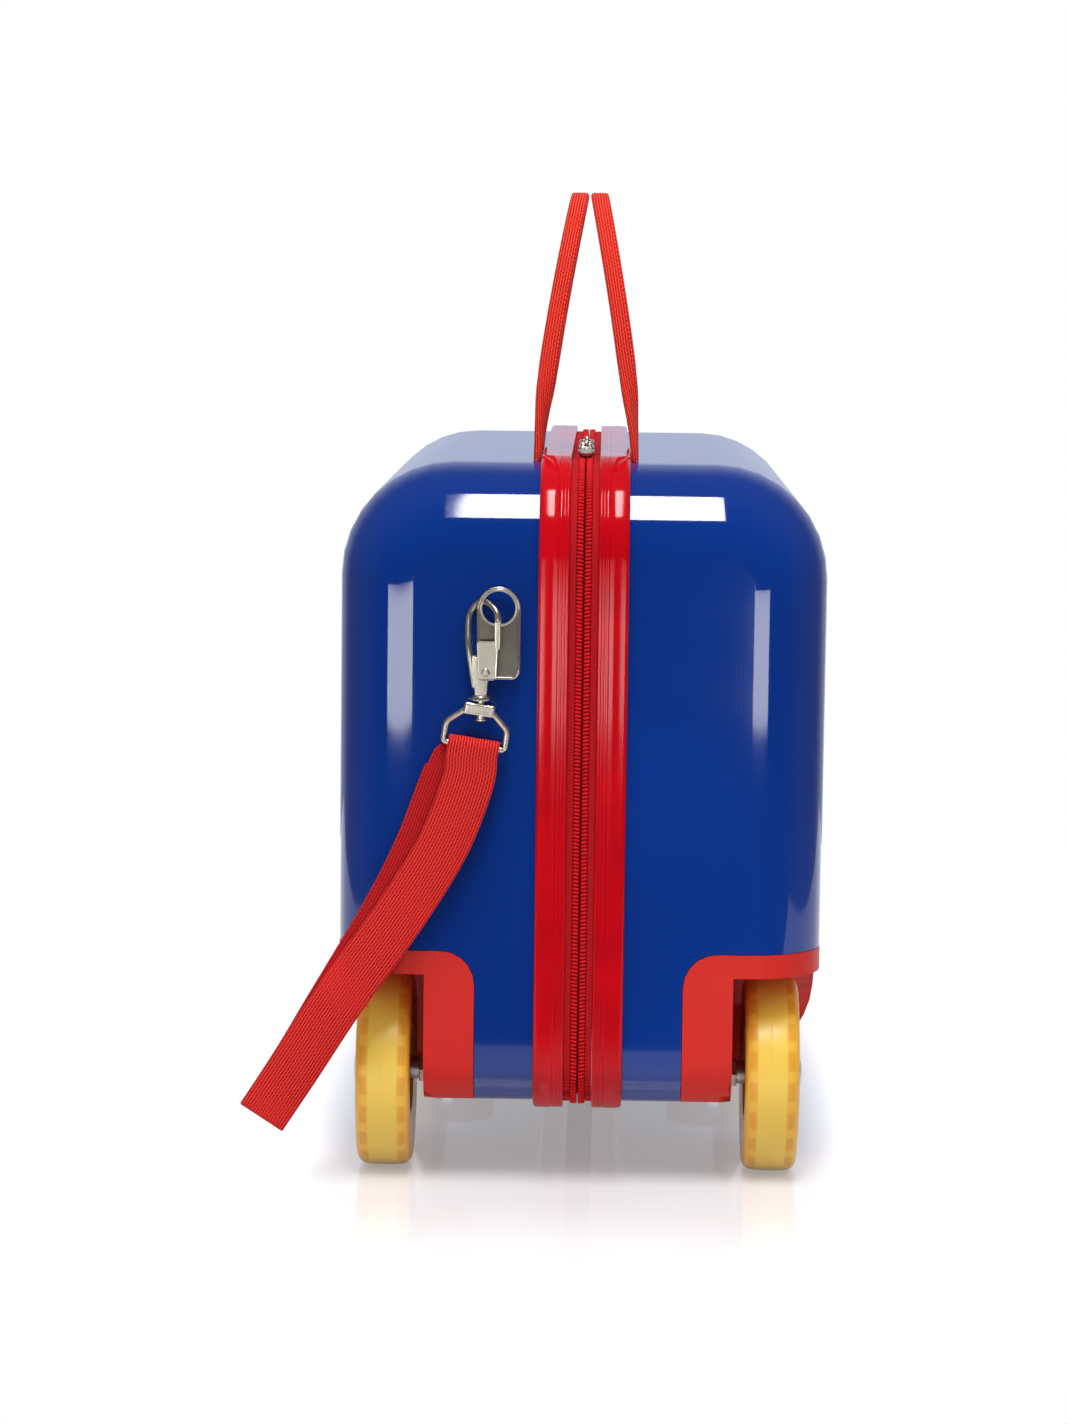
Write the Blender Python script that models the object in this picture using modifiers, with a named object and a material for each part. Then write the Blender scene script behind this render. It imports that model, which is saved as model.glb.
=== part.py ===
"""Ride-on suitcase for a child: two hard half shells on four fixed wheels, with a pull loop.

Metres, +Z up. The origin is on the floor under the middle of the case. The pull loop hangs
at the front end, -Y, and the left half, -X, carries it. The right half opens as the lid.
"""

import math

import bmesh
import bpy
from mathutils import Matrix, Vector

# Case shell
CASE_WIDTH = 0.240
CASE_LENGTH = 0.450
CASE_BOTTOM = 0.040
CASE_TOP = 0.356
TOP_CORNER = 0.055
BOTTOM_CORNER = 0.047
END_TO_TOP = 0.045
END_TO_SIDE = 0.037
END_TO_BOTTOM = 0.022
WALL = 0.0028
LEAST_CORNER = 0.004
ROUND_STEPS = 8
LINING_ROUND_STEPS = 4

# Running and seating gap between neighbours, edge rounding of small metal pieces, and how far
# joined solids reach into each other and bores and cutters reach past what they cut
GAP = 0.0003
SMALL_EDGE = 0.0006
GATE_EDGE = 0.0004
OVERLAP = 0.0010
BORE_REACH = 0.0040
CUT_BEYOND = 0.0200

# Gasket, zip and fabric hinge in the seam, across the seam and out of the surface
GASKET_INNER = 0.007
GASKET_OUTER = 0.022
GASKET_PROUD = 0.0035
GASKET_SHOULDER = 0.0012
LIP_THICKNESS = 0.0017
LIP_DEPTH = 0.0035
TAPE_WIDTH = 0.00275
TAPE_PROUD = 0.0002
TAPE_THICKNESS = 0.0008
COIL_PROUD = 0.0015
COIL_SUNK = 0.0009
COIL_CHAMFER = 0.0006
HINGE_FABRIC_LENGTH = 0.376

# Lining, divider and packing straps inside
LINING = 0.0010
DIVIDER_THICKNESS = 0.0018
DIVIDER_EDGE_GAP = 0.0008
PACKING_STRAP_WIDTH = 0.025
PACKING_STRAP_THICKNESS = 0.0010
PACKING_STRAP_IN = 0.011
BUCKLE_WIDTH = 0.034
BUCKLE_HEIGHT = 0.042
BUCKLE_THICKNESS = 0.007
BUCKLE_ROUND = 0.0018

# Wheels, and the housings let into the corners of the shell
WHEEL_RADIUS = 0.049
WHEEL_WIDTH = 0.027
WHEEL_SHOULDER = 0.0055
WHEEL_X = 0.0965
WHEEL_Y = 0.173
WHEEL_SIDES = 36
HUB_RADIUS = 0.024
HUB_WIDTH = 0.025
HUB_DISH = 0.006
HUB_RIM = 0.003
HUB_BOSS = 0.0135
BEARING_RADIUS = 0.011
BEARING_WIDTH = 0.007
AXLE_RADIUS = 0.004
AXLE_DEPTH = 0.018
AXLE_SLEEVE = 0.0058
AXLE_HEAD_RADIUS = 0.008
AXLE_HEAD = 0.0027
NUT_RADIUS = 0.0075
NUT_THICKNESS = 0.0038
TURNED_SIDES = 20
SMALL_TURNED_SIDES = 16
HOUSING_INNER = 0.051
HOUSING_TOP = 0.118
HOUSING_REAR = 0.105
HOUSING_CORNER = 0.017
WELL_INNER = 0.076
WELL_CLEARANCE = 0.008
WELL_BOTTOM = 0.010

# Carry handles of webbing, one on each half
HANDLE_WEB_WIDTH = 0.0092
HANDLE_WEB_THICKNESS = 0.0036
HANDLE_FROM_END = 0.110
HANDLE_SPREAD = 0.050
HANDLE_RISE = 0.1315
HANDLE_CREST_GAP = 0.0008
HANDLE_LEAN_POWER = 1.35
HANDLE_TWIST_SHARE = 0.45
HANDLE_SIDE_POWER = 0.72
HANDLE_TOP_POWER = 0.85
HANDLE_STEPS = 28

# Zip sliders and their pullers
SLIDER_LENGTH = 0.013
SLIDER_WIDTH = 0.0088
SLIDER_THICKNESS = 0.0030
SLIDER_FROM_END = {"far": 0.128, "near": 0.080}
BRIDGE_WIDTH = 0.0026
BRIDGE_LENGTH = 0.0070
BRIDGE_HEIGHT = 0.0046
PULLER_HOLE = 0.0012
PULLER_WIRE = 0.0008
PULLER_EYE_WIDTH = 0.0062
PULLER_EYE_LENGTH = 0.0060
PULLER_PLATE_LENGTH = 0.015
PULLER_PLATE_WIDTH = 0.0056
PULLER_PLATE_THICKNESS = 0.0014
PULLER_TILT = {"far": 11.0, "near": 11.0}

# Anchor plate of the pull loop, on the front end of the left half
ANCHOR_X = -0.041
ANCHOR_RING_Z = 0.2877
ANCHOR_RADIUS = 0.01025
ANCHOR_HOLE = 0.008
ANCHOR_HEIGHT = 0.0452
ANCHOR_CORNER = 0.004
ANCHOR_THICKNESS = 0.0020
ANCHOR_STAND_OFF = 0.0040
ANCHOR_BOSS_WIDTH = 0.012
ANCHOR_BOSS_HEIGHT = 0.012
ANCHOR_BOSS_Z = 0.262
SCREW_RADIUS = 0.0015
SCREW_HEAD_RADIUS = 0.0042
SCREW_HEAD = 0.0022
SCREW_LENGTH = 0.006

# Snap hook, its gate, and the swivel ring below it
HOOK_WIRE = 0.0015
HOOK_Y = -0.2336
SHANK_X = -0.0492
SHANK_WIDTH = 0.0090
SHANK_BOTTOM = 0.2452
SHANK_TOP = 0.2640
COLLAR_RADIUS = 0.0052
COLLAR_THICKNESS = 0.0024
GATE_WIDTH = 0.0104
GATE_HEIGHT = 0.0190
GATE_THICKNESS = 0.0012
GATE_X = -0.0462
GATE_BOTTOM = 0.2528
FINGER_WIDTH = 0.0028
PIN_RADIUS = 0.0012
PIN_CAP_RADIUS = 0.0020
PIN_CAP = 0.0008
PIN_X = -0.0470
PIN_Z = 0.2565
PIN_SIDES = 12
FINGER_PAST_BOW = 0.0022
BOW_ROUTE = (
    (-0.0522, HOOK_Y, 0.2492),
    (-0.0540, HOOK_Y, 0.2600),
    (-0.0552, -0.2330, 0.2692),
    (-0.0550, -0.2302, 0.2769),
    (-0.0538, -0.2275, 0.2835),
    (-0.0500, -0.2269, 0.2885),
    (-0.0465, -0.2286, 0.2893),
    (-0.0425, -0.2314, 0.2865),
    (-0.0413, HOOK_Y, 0.2827),
    (-0.0413, HOOK_Y, 0.2793),
)
BOW_STEPS = 22
SWIVEL_RADIUS = 0.0018
SWIVEL_HEAD_RADIUS = 0.0030
SWIVEL_HEAD = 0.0018
RIVET_PAST_BLOCK = 0.0024
RING_BLOCK_WIDTH = 0.0150
RING_BLOCK_HEIGHT = 0.0060
RING_BLOCK_DEPTH = 0.0064
RING_HALF_WIDTH = 0.0165
RING_BAR_DROP = 0.0210
RING_SHOULDER_DROP = 0.0100
RING_STOCK = 0.0030
RING_SINK = 0.0007
RING_DROP = 0.0012
RING_LEAN = math.radians(8.4)

# Pull loop of webbing, whose route is the middle of its front leg
LOOP_WEB_WIDTH = 0.025
LOOP_WEB_THICKNESS = 0.0016
LOOP_ROUTE = (
    (-0.0542, 0.2051),
    (-0.0605, 0.1858),
    (-0.0678, 0.1693),
    (-0.0786, 0.1506),
    (-0.0925, 0.1293),
    (-0.1072, 0.1087),
    (-0.1216, 0.0874),
    (-0.1371, 0.0627),
    (-0.1540, 0.0366),
)
LOOP_STRAIGHT = 0.006
LOOP_BACK_SHIFT = 0.0165
LOOP_STEPS = 20

# Colours as they look, from 0 to 1, with roughness and metallic values
BLUE = ((0.02, 0.17, 0.62), 0.12, 0.0)
RED_SOFT = ((0.80, 0.07, 0.10), 0.30, 0.0)
RED_MATTE = ((0.84, 0.20, 0.15), 0.50, 0.0)
RED_WEBBING = ((0.86, 0.17, 0.14), 0.85, 0.0)
RED_TAPE = ((0.70, 0.05, 0.08), 0.80, 0.0)
YELLOW = ((0.94, 0.79, 0.32), 0.25, 0.0)
AMBER = ((0.72, 0.42, 0.14), 0.45, 0.0)
NICKEL = ((0.75, 0.73, 0.67), 0.25, 1.0)
STEEL = ((0.62, 0.62, 0.62), 0.35, 1.0)
GREY_FABRIC = ((0.30, 0.32, 0.38), 0.90, 0.0)
BLACK_PLASTIC = ((0.05, 0.05, 0.06), 0.45, 0.0)

SIDES = {"left": -1, "right": 1}
ENDS = {"front": -1, "rear": 1}
HALF_WIDTH = CASE_WIDTH / 2
HALF_LENGTH = CASE_LENGTH / 2
RIM = GASKET_INNER + LIP_THICKNESS + GAP
FACE_Y = -HALF_LENGTH


def clear_scene():
    for obj in list(bpy.data.objects):
        bpy.data.objects.remove(obj, do_unlink=True)


def collection(name):
    made = bpy.data.collections.new(name)
    bpy.context.scene.collection.children.link(made)
    return made


def as_linear(value):
    return value / 12.92 if value <= 0.04045 else ((value + 0.055) / 1.055) ** 2.4


def finish(name, look):
    """A Principled material from a colour as it looks, a roughness and a metallic value."""
    colour, roughness, metallic = look
    material = bpy.data.materials.new(name)
    material.use_nodes = True
    shader = material.node_tree.nodes["Principled BSDF"]
    linear = [as_linear(channel) for channel in colour]
    shader.inputs["Base Color"].default_value = (*linear, 1.0)
    shader.inputs["Roughness"].default_value = roughness
    shader.inputs["Metallic"].default_value = metallic
    material.diffuse_color = (*linear, 1.0)
    return material


def add_object(name, mesh, look, smooth=False):
    obj = bpy.data.objects.new(name, mesh)
    parts.objects.link(obj)
    obj.data.materials.append(finish(name, look))
    if smooth:
        mesh.shade_smooth()
        mesh.set_sharp_from_angle(angle=math.radians(35))
    return obj


def add_cutter(name, mesh):
    obj = bpy.data.objects.new(name, mesh)
    cutters.objects.link(obj)
    obj.hide_render = True
    obj.display_type = "WIRE"
    return obj


def as_mesh(name, bm):
    bmesh.ops.recalc_face_normals(bm, faces=bm.faces)
    mesh = bpy.data.meshes.new(name)
    bm.to_mesh(mesh)
    bm.free()
    return mesh


def boolean(obj, other, operation):
    modifier = obj.modifiers.new(other.name, "BOOLEAN")
    modifier.operation = operation
    modifier.object = other
    modifier.solver = "EXACT"


def block(low, high, round_by=0.0, steps=3):
    """A box between two corners, with its edges rounded."""
    low = Vector(low)
    high = Vector(high)
    bm = bmesh.new()
    bmesh.ops.create_cube(bm, size=1.0)
    bmesh.ops.scale(bm, vec=high - low, verts=bm.verts)
    bmesh.ops.translate(bm, vec=(low + high) / 2, verts=bm.verts)
    if round_by:
        bmesh.ops.bevel(
            bm,
            geom=bm.edges[:],
            offset=round_by,
            segments=steps,
            profile=0.5,
            affect="EDGES",
            material=-1,
        )
    return as_mesh("block", bm)


def rod(start, end, radius, sides=SMALL_TURNED_SIDES):
    """A cylinder from one point to another."""
    start = Vector(start)
    end = Vector(end)
    axis = end - start
    bm = bmesh.new()
    bmesh.ops.create_cone(
        bm, cap_ends=True, segments=sides, radius1=radius, radius2=radius, depth=axis.length
    )
    turn = axis.to_track_quat("Z", "Y").to_matrix().to_4x4()
    bmesh.ops.transform(bm, matrix=Matrix.Translation((start + end) / 2) @ turn, verts=bm.verts)
    return as_mesh("rod", bm)


def loft(rings, closed=False):
    """A solid through rings of as many points each, its ends capped or joined to each other."""
    bm = bmesh.new()
    rows = [[bm.verts.new(point) for point in ring] for ring in rings]
    pairs = list(zip(rows, rows[1:]))
    if closed:
        pairs.append((rows[-1], rows[0]))
    for row, following in pairs:
        for i in range(len(row)):
            j = (i + 1) % len(row)
            bm.faces.new((row[i], row[j], following[j], following[i]))
    if not closed:
        bm.faces.new(rows[0])
        bm.faces.new(rows[-1])
    return bm


def arc(centre, radius, start, end, steps):
    """Points of an arc in a plane, from one angle to another in degrees."""
    angles = [math.radians(start + (end - start) * i / steps) for i in range(steps + 1)]
    return [
        (centre[0] + radius * math.cos(angle), centre[1] + radius * math.sin(angle))
        for angle in angles
    ]


def plate(outlines, thickness):
    """A flat plate in the XZ plane, from an outline and its holes, as a mesh centred on Y = 0."""
    curve = bpy.data.curves.new("outline", "CURVE")
    curve.dimensions = "2D"
    curve.fill_mode = "BOTH"
    curve.extrude = thickness / 2
    for points in outlines:
        spline = curve.splines.new("POLY")
        spline.points.add(len(points) - 1)
        for point, (across, up) in zip(spline.points, points):
            point.co = (across, up, 0.0, 1.0)
        spline.use_cyclic_u = True
    mesh = mesh_of_curve(curve)
    mesh.transform(Matrix.Rotation(math.radians(90), 4, "X"))
    return mesh


def mesh_of_curve(curve):
    """The closed mesh of a curve, its caps welded."""
    obj = bpy.data.objects.new("curve", curve)
    cutters.objects.link(obj)
    evaluated = obj.evaluated_get(bpy.context.evaluated_depsgraph_get())
    mesh = bpy.data.meshes.new_from_object(evaluated)
    bpy.data.objects.remove(obj, do_unlink=True)
    bm = bmesh.new()
    bm.from_mesh(mesh)
    bmesh.ops.remove_doubles(bm, verts=bm.verts, dist=1e-6)
    bmesh.ops.recalc_face_normals(bm, faces=bm.faces)
    bm.to_mesh(mesh)
    bm.free()
    return mesh


def wire(points, radius, resolution=2, cyclic=False):
    """A round wire through points, as a closed mesh."""
    curve = bpy.data.curves.new("wire", "CURVE")
    curve.dimensions = "3D"
    curve.bevel_depth = radius
    curve.bevel_resolution = resolution
    curve.use_fill_caps = True
    spline = curve.splines.new("POLY")
    spline.points.add(len(points) - 1)
    for point, place in zip(spline.points, points):
        point.co = (*place, 1.0)
    spline.use_cyclic_u = cyclic
    return mesh_of_curve(curve)


def smooth_line(points, steps):
    """Points along a smooth curve through the given points."""
    line = [Vector(point) for point in points]
    line = [2 * line[0] - line[1], *line, 2 * line[-1] - line[-2]]
    found = []
    spans = len(points) - 1
    for i in range(steps + 1):
        where = i * spans / steps
        k = min(int(where), spans - 1)
        t = where - k
        a, b, c, d = line[k : k + 4]
        found.append(
            0.5
            * (
                2 * b
                + (c - a) * t
                + (2 * a - 5 * b + 4 * c - d) * t**2
                + (3 * b - a - 3 * c + d) * t**3
            )
        )
    return found


def ribbon(sections, width, thickness, closed=False):
    """Webbing through sections, each a middle, a direction across and a direction through it."""
    rings = []
    for middle, across, through in sections:
        w = across.normalized() * width / 2
        t = through.normalized() * thickness / 2
        rings.append([middle - w - t, middle + w - t, middle + w + t, middle - w + t])
    return as_mesh("ribbon", loft(rings, closed))


def turned(profile, name, look, centre, outward, sides=TURNED_SIDES):
    """A closed profile of radius and distance along X, turned about the X axis."""
    mesh = bpy.data.meshes.new(name)
    count = len(profile)
    verts = [(radius, 0.0, along) for radius, along in profile]
    edges = [(i, (i + 1) % count) for i in range(count)]
    mesh.from_pydata(verts, edges, [])
    obj = add_object(name, mesh, look)
    screw = obj.modifiers.new("Turn", "SCREW")
    screw.steps = sides
    screw.render_steps = sides
    screw.use_merge_vertices = True
    screw.merge_threshold = 1e-6
    screw.use_smooth_shade = True
    half_step = Matrix.Rotation(math.pi / sides, 4, "Z")
    tip = Matrix.Rotation(math.radians(90) * outward, 4, "Y")
    obj.matrix_world = Matrix.Translation(centre) @ tip @ half_step
    return obj


def end_inset(radius, from_end):
    """How far a section draws in where an end is rounded."""
    if from_end >= radius:
        return 0.0
    return radius - math.sqrt(radius**2 - (radius - from_end) ** 2)


def case_ring(y, inset, steps):
    """The case's section at a distance along it, as a rounded rectangle in XZ."""
    from_end = max(0.0, HALF_LENGTH - inset - abs(y))
    side_in = end_inset(END_TO_SIDE - inset, from_end)
    top_in = end_inset(END_TO_TOP - inset, from_end)
    bottom_in = end_inset(END_TO_BOTTOM - inset, from_end)
    wide = HALF_WIDTH - inset - side_in
    top = CASE_TOP - inset - top_in
    bottom = CASE_BOTTOM + inset + bottom_in
    top_corner = max(LEAST_CORNER, TOP_CORNER - inset - (side_in + top_in) / 2)
    bottom_corner = max(LEAST_CORNER, BOTTOM_CORNER - inset - (side_in + bottom_in) / 2)
    outline = (
        arc((wide - bottom_corner, bottom + bottom_corner), bottom_corner, -90, 0, steps)
        + arc((wide - top_corner, top - top_corner), top_corner, 0, 90, steps)
        + arc((top_corner - wide, top - top_corner), top_corner, 90, 180, steps)
        + arc((bottom_corner - wide, bottom + bottom_corner), bottom_corner, 180, 270, steps)
    )
    return [(x, y, z) for x, z in outline]


def case_body(inset, steps=ROUND_STEPS):
    """The whole case as one solid, drawn in by an inset on every side."""
    largest = END_TO_TOP - inset
    drawn = [largest * (1 - math.sin(math.radians(90 * i / steps))) for i in range(steps + 1)]
    near = [-(HALF_LENGTH - inset) + distance for distance in reversed(drawn)]
    stations = near + [-y for y in reversed(near)]
    return loft([case_ring(y, inset, steps) for y in stations])


def keep_side(bm, sign, from_x, fill):
    """Keeps what lies beyond a plane across X, on one side of the case."""
    cut = bmesh.ops.bisect_plane(
        bm,
        geom=bm.verts[:] + bm.edges[:] + bm.faces[:],
        plane_co=(sign * from_x, 0, 0),
        plane_no=(sign, 0, 0),
        clear_inner=True,
    )
    if fill:
        edges = [item for item in cut["geom_cut"] if isinstance(item, bmesh.types.BMEdge)]
        bmesh.ops.holes_fill(bm, edges=edges, sides=0)


def corner_block(sign, end, grow):
    """The corner of the case that a wheel housing takes, grown by a clearance."""
    x = sorted((sign * (HOUSING_INNER - grow), sign * (HALF_WIDTH + CUT_BEYOND)))
    y = sorted((end * (HOUSING_REAR - grow), end * (HALF_LENGTH + CUT_BEYOND)))
    low = (x[0], y[0], CASE_BOTTOM - CUT_BEYOND)
    high = (x[1], y[1], HOUSING_TOP + grow)
    return block(low, high, HOUSING_CORNER + grow, 5)


def seam_outline(start, end):
    """Stations round the case in the seam plane, each with its outward direction.

    The four corners are numbered from the front bottom one over the top to the rear bottom one.
    """
    low = CASE_BOTTOM + END_TO_BOTTOM
    high = CASE_TOP - END_TO_TOP
    corners = (
        (-(HALF_LENGTH - END_TO_BOTTOM), low, END_TO_BOTTOM, 270, 180),
        (-(HALF_LENGTH - END_TO_TOP), high, END_TO_TOP, 180, 90),
        (HALF_LENGTH - END_TO_TOP, high, END_TO_TOP, 90, 0),
        (HALF_LENGTH - END_TO_BOTTOM, low, END_TO_BOTTOM, 0, -90),
    )
    stations = []
    for y, z, radius, first, last in corners[start:end]:
        for i in range(ROUND_STEPS + 1):
            angle = math.radians(first + (last - first) * i / ROUND_STEPS)
            out = Vector((0, math.cos(angle), math.sin(angle)))
            stations.append((Vector((0, y, z)) + out * radius, out))
    return stations


def swept(stations, profile, sign, closed):
    """A profile of distance across the seam and out of the surface, carried round the case."""
    rings = [
        [place + out * proud + Vector((sign * across, 0, 0)) for across, proud in profile]
        for place, out in stations
    ]
    return as_mesh("swept", loft(rings, closed))


def on_bottom(y):
    return Vector((0, y, CASE_BOTTOM)), Vector((0, 0, -1))


def make_shell(side, sign):
    bm = case_body(0.0)
    bmesh.ops.recalc_face_normals(bm, faces=bm.faces)
    keep_side(bm, sign, RIM, fill=False)
    mesh = bpy.data.meshes.new("shell")
    bm.to_mesh(mesh)
    bm.free()
    shell = add_object(f"shell_{side}", mesh, BLUE, smooth=True)
    wall = shell.modifiers.new("Wall", "SOLIDIFY")
    wall.thickness = WALL
    wall.offset = -1
    wall.use_even_offset = True
    for end, direction in ENDS.items():
        cutter = add_cutter(f"cut_shell_{side}_{end}", corner_block(sign, direction, 0.0))
        boolean(shell, cutter, "DIFFERENCE")
    return shell


def make_lining(side, sign):
    """Cloth over the inside of a half, over the housings too."""
    outside = WALL + GAP
    solids = []
    for name, inset, grow in (("outer", outside, 2 * GAP), ("inner", outside + LINING, 2 * GAP + LINING)):
        bm = case_body(inset, LINING_ROUND_STEPS)
        keep_side(bm, sign, RIM + GAP if name == "outer" else GAP, fill=True)
        mesh = as_mesh(name, bm)
        if name == "outer":
            solid = add_object(f"lining_{side}", mesh, GREY_FABRIC)
        else:
            solid = add_cutter(f"cut_lining_{side}", mesh)
        for end, direction in ENDS.items():
            corner = add_cutter(f"cut_{name}_{side}_{end}", corner_block(sign, direction, grow))
            boolean(solid, corner, "DIFFERENCE")
        solids.append(solid)
    boolean(solids[0], solids[1], "DIFFERENCE")
    return solids[0]


def make_seam(side, sign):
    lip = -LIP_DEPTH
    shoulder = GASKET_SHOULDER
    gasket = [
        (GASKET_INNER, lip),
        (GASKET_INNER, GASKET_PROUD - shoulder / 2),
        (GASKET_INNER + shoulder / 2, GASKET_PROUD),
        (GASKET_OUTER - shoulder, GASKET_PROUD),
        (GASKET_OUTER - shoulder / 4, GASKET_PROUD - shoulder / 2),
        (GASKET_OUTER, GASKET_PROUD - 1.5 * shoulder),
        (GASKET_OUTER, GAP),
        (GASKET_INNER + LIP_THICKNESS, GAP),
        (GASKET_INNER + LIP_THICKNESS, lip),
    ]
    add_object(f"gasket_{side}", swept(seam_outline(0, 4), gasket, sign, True), RED_SOFT, smooth=True)
    ends = HINGE_FABRIC_LENGTH / 2 + GAP
    zip_run = [on_bottom(-ends), *seam_outline(0, 4), on_bottom(ends)]
    tape_outer = GASKET_INNER - GAP
    tape_inner = tape_outer - TAPE_WIDTH
    tape = [
        (tape_inner, TAPE_PROUD - TAPE_THICKNESS),
        (tape_inner, TAPE_PROUD),
        (tape_outer, TAPE_PROUD),
        (tape_outer, TAPE_PROUD - TAPE_THICKNESS),
    ]
    add_object(f"zip_tape_{side}", swept(zip_run, tape, sign, False), RED_TAPE)
    coil_outer = tape_inner - GAP
    coil = [
        (GAP / 2, -COIL_SUNK),
        (GAP / 2, COIL_PROUD),
        (coil_outer - COIL_CHAMFER, COIL_PROUD),
        (coil_outer, COIL_PROUD - COIL_CHAMFER),
        (coil_outer, -COIL_SUNK),
    ]
    add_object(f"zip_coil_{side}", swept(zip_run, coil, sign, False), RED_TAPE)


def make_hinge_fabric():
    half = HINGE_FABRIC_LENGTH / 2
    wide = GASKET_INNER - GAP
    low = (-wide, -half, CASE_BOTTOM - TAPE_PROUD)
    high = (wide, half, CASE_BOTTOM - TAPE_PROUD + TAPE_THICKNESS)
    add_object("hinge_fabric", block(low, high), RED_TAPE)


def make_divider():
    """Cloth-covered board that closes the left half, lying in the mouth of its lining."""
    bm = case_body(WALL + GAP + LINING + DIVIDER_EDGE_GAP, LINING_ROUND_STEPS)
    keep_side(bm, -1, RIM + GAP, fill=True)
    keep_side(bm, 1, -(RIM + GAP + DIVIDER_THICKNESS), fill=True)
    add_object("divider_panel", as_mesh("divider", bm), GREY_FABRIC)


def make_packing_straps():
    inset = WALL + GAP + LINING + GAP
    top = CASE_TOP - inset
    bottom = CASE_BOTTOM + inset
    middle = (top + bottom) / 2
    half = BUCKLE_HEIGHT / 2
    thin = PACKING_STRAP_THICKNESS / 2
    wide = PACKING_STRAP_WIDTH / 2
    x = PACKING_STRAP_IN
    low = (x - BUCKLE_THICKNESS / 2, -BUCKLE_WIDTH / 2, middle - half)
    high = (x + BUCKLE_THICKNESS / 2, BUCKLE_WIDTH / 2, middle + half)
    add_object("packing_buckle", block(low, high, BUCKLE_ROUND, 2), BLACK_PLASTIC)
    for name, start, end in (
        ("upper", middle + half + GAP, top),
        ("lower", bottom, middle - half - GAP),
    ):
        mesh = block((x - thin, -wide, start), (x + thin, wide, end))
        add_object(f"packing_strap_{name}", mesh, BLACK_PLASTIC)


def well_outline():
    """The wheel well from the side, open at the front and below."""
    radius = WHEEL_RADIUS + WELL_CLEARANCE
    front = -(HALF_LENGTH + CUT_BEYOND)
    top = WHEEL_RADIUS + radius
    rear = arc((-WHEEL_Y, WHEEL_RADIUS), radius, 90, 0, 8)
    return [(front, WELL_BOTTOM), (front, top), *rear, (-WHEEL_Y + radius, WELL_BOTTOM)]


def make_housing(side, sign, end, direction):
    name = f"wheel_housing_{side}_{end}"
    bm = case_body(0.0)
    keep_side(bm, sign, GAP, fill=True)
    housing = add_object(name, as_mesh("housing", bm), RED_MATTE)
    corner = add_cutter(f"keep_{name}", corner_block(sign, direction, -GAP))
    boolean(housing, corner, "INTERSECT")
    outer = HALF_WIDTH + CUT_BEYOND
    well = plate([well_outline()], outer - WELL_INNER)
    well.transform(Matrix.Rotation(math.radians(90), 4, "Z"))
    if direction > 0:
        well.transform(Matrix.Scale(-1, 4, (0, 1, 0)))
        well.flip_normals()
    well.transform(Matrix.Translation((sign * (outer + WELL_INNER) / 2, 0, 0)))
    boolean(housing, add_cutter(f"well_{name}", well), "DIFFERENCE")
    y = direction * WHEEL_Y
    bore_end = (sign * (WELL_INNER - AXLE_DEPTH - GAP), y, WHEEL_RADIUS)
    bore_mouth = (sign * (WELL_INNER + BORE_REACH), y, WHEEL_RADIUS)
    bore = rod(bore_end, bore_mouth, AXLE_RADIUS + GAP)
    boolean(housing, add_cutter(f"bore_{name}", bore), "DIFFERENCE")


def make_wheel(side, sign, end, direction):
    """Tyre, hub, bearing, axle and nut of one wheel, at distances along the axle from its middle."""
    place = f"{side}_{end}"
    centre = Vector((sign * WHEEL_X, direction * WHEEL_Y, WHEEL_RADIUS))
    half = WHEEL_WIDTH / 2
    tread = WHEEL_RADIUS / math.cos(math.pi / WHEEL_SIDES)
    bore = HUB_RADIUS + GAP
    shoulder_in = arc((tread - WHEEL_SHOULDER, half - WHEEL_SHOULDER), WHEEL_SHOULDER, 90, 0, 2)
    shoulder_out = [(radius, -along) for radius, along in reversed(shoulder_in)]
    tyre = [(bore, half), *shoulder_in, *shoulder_out, (bore, -half)]
    turned(tyre, f"tyre_{place}", YELLOW, centre, sign, WHEEL_SIDES)
    wide = HUB_WIDTH / 2
    web = wide - HUB_DISH
    seat = BEARING_RADIUS + GAP
    hub = [
        (seat, web),
        (HUB_BOSS, web),
        (HUB_RADIUS - HUB_RIM, web),
        (HUB_RADIUS - HUB_RIM, wide),
        (HUB_RADIUS, wide),
        (HUB_RADIUS, -wide),
        (HUB_RADIUS - HUB_RIM, -wide),
        (HUB_RADIUS - HUB_RIM, -web),
        (HUB_BOSS, -web),
        (seat, -web),
    ]
    turned(hub, f"hub_{place}", AMBER, centre, sign)
    race = BEARING_WIDTH / 2
    inner = AXLE_RADIUS + GAP
    bearing = [(inner, race), (BEARING_RADIUS, race), (BEARING_RADIUS, -race), (inner, -race)]
    turned(bearing, f"bearing_{place}", STEEL, centre, sign, SMALL_TURNED_SIDES)
    head = half + GAP
    axle_end = WELL_INNER - AXLE_DEPTH - WHEEL_X
    axle = [
        (0.0, head + AXLE_HEAD),
        (AXLE_HEAD_RADIUS * 0.7, head + AXLE_HEAD),
        (AXLE_HEAD_RADIUS, head + AXLE_HEAD / 2),
        (AXLE_HEAD_RADIUS, head),
        (AXLE_SLEEVE, head),
        (AXLE_SLEEVE, race + GAP),
        (AXLE_RADIUS, race + GAP),
        (AXLE_RADIUS, axle_end),
        (0.0, axle_end),
    ]
    turned(axle, f"axle_{place}", STEEL, centre, sign, SMALL_TURNED_SIDES)
    nut_start = WELL_INNER + GAP - WHEEL_X
    nut_end = nut_start + NUT_THICKNESS
    nut = [
        (inner, -race - GAP),
        (AXLE_SLEEVE, -race - GAP),
        (AXLE_SLEEVE, nut_end),
        (NUT_RADIUS, nut_end),
        (NUT_RADIUS, nut_start),
        (inner, nut_start),
    ]
    turned(nut, f"axle_nut_{place}", STEEL, centre, sign, SMALL_TURNED_SIDES)


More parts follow.
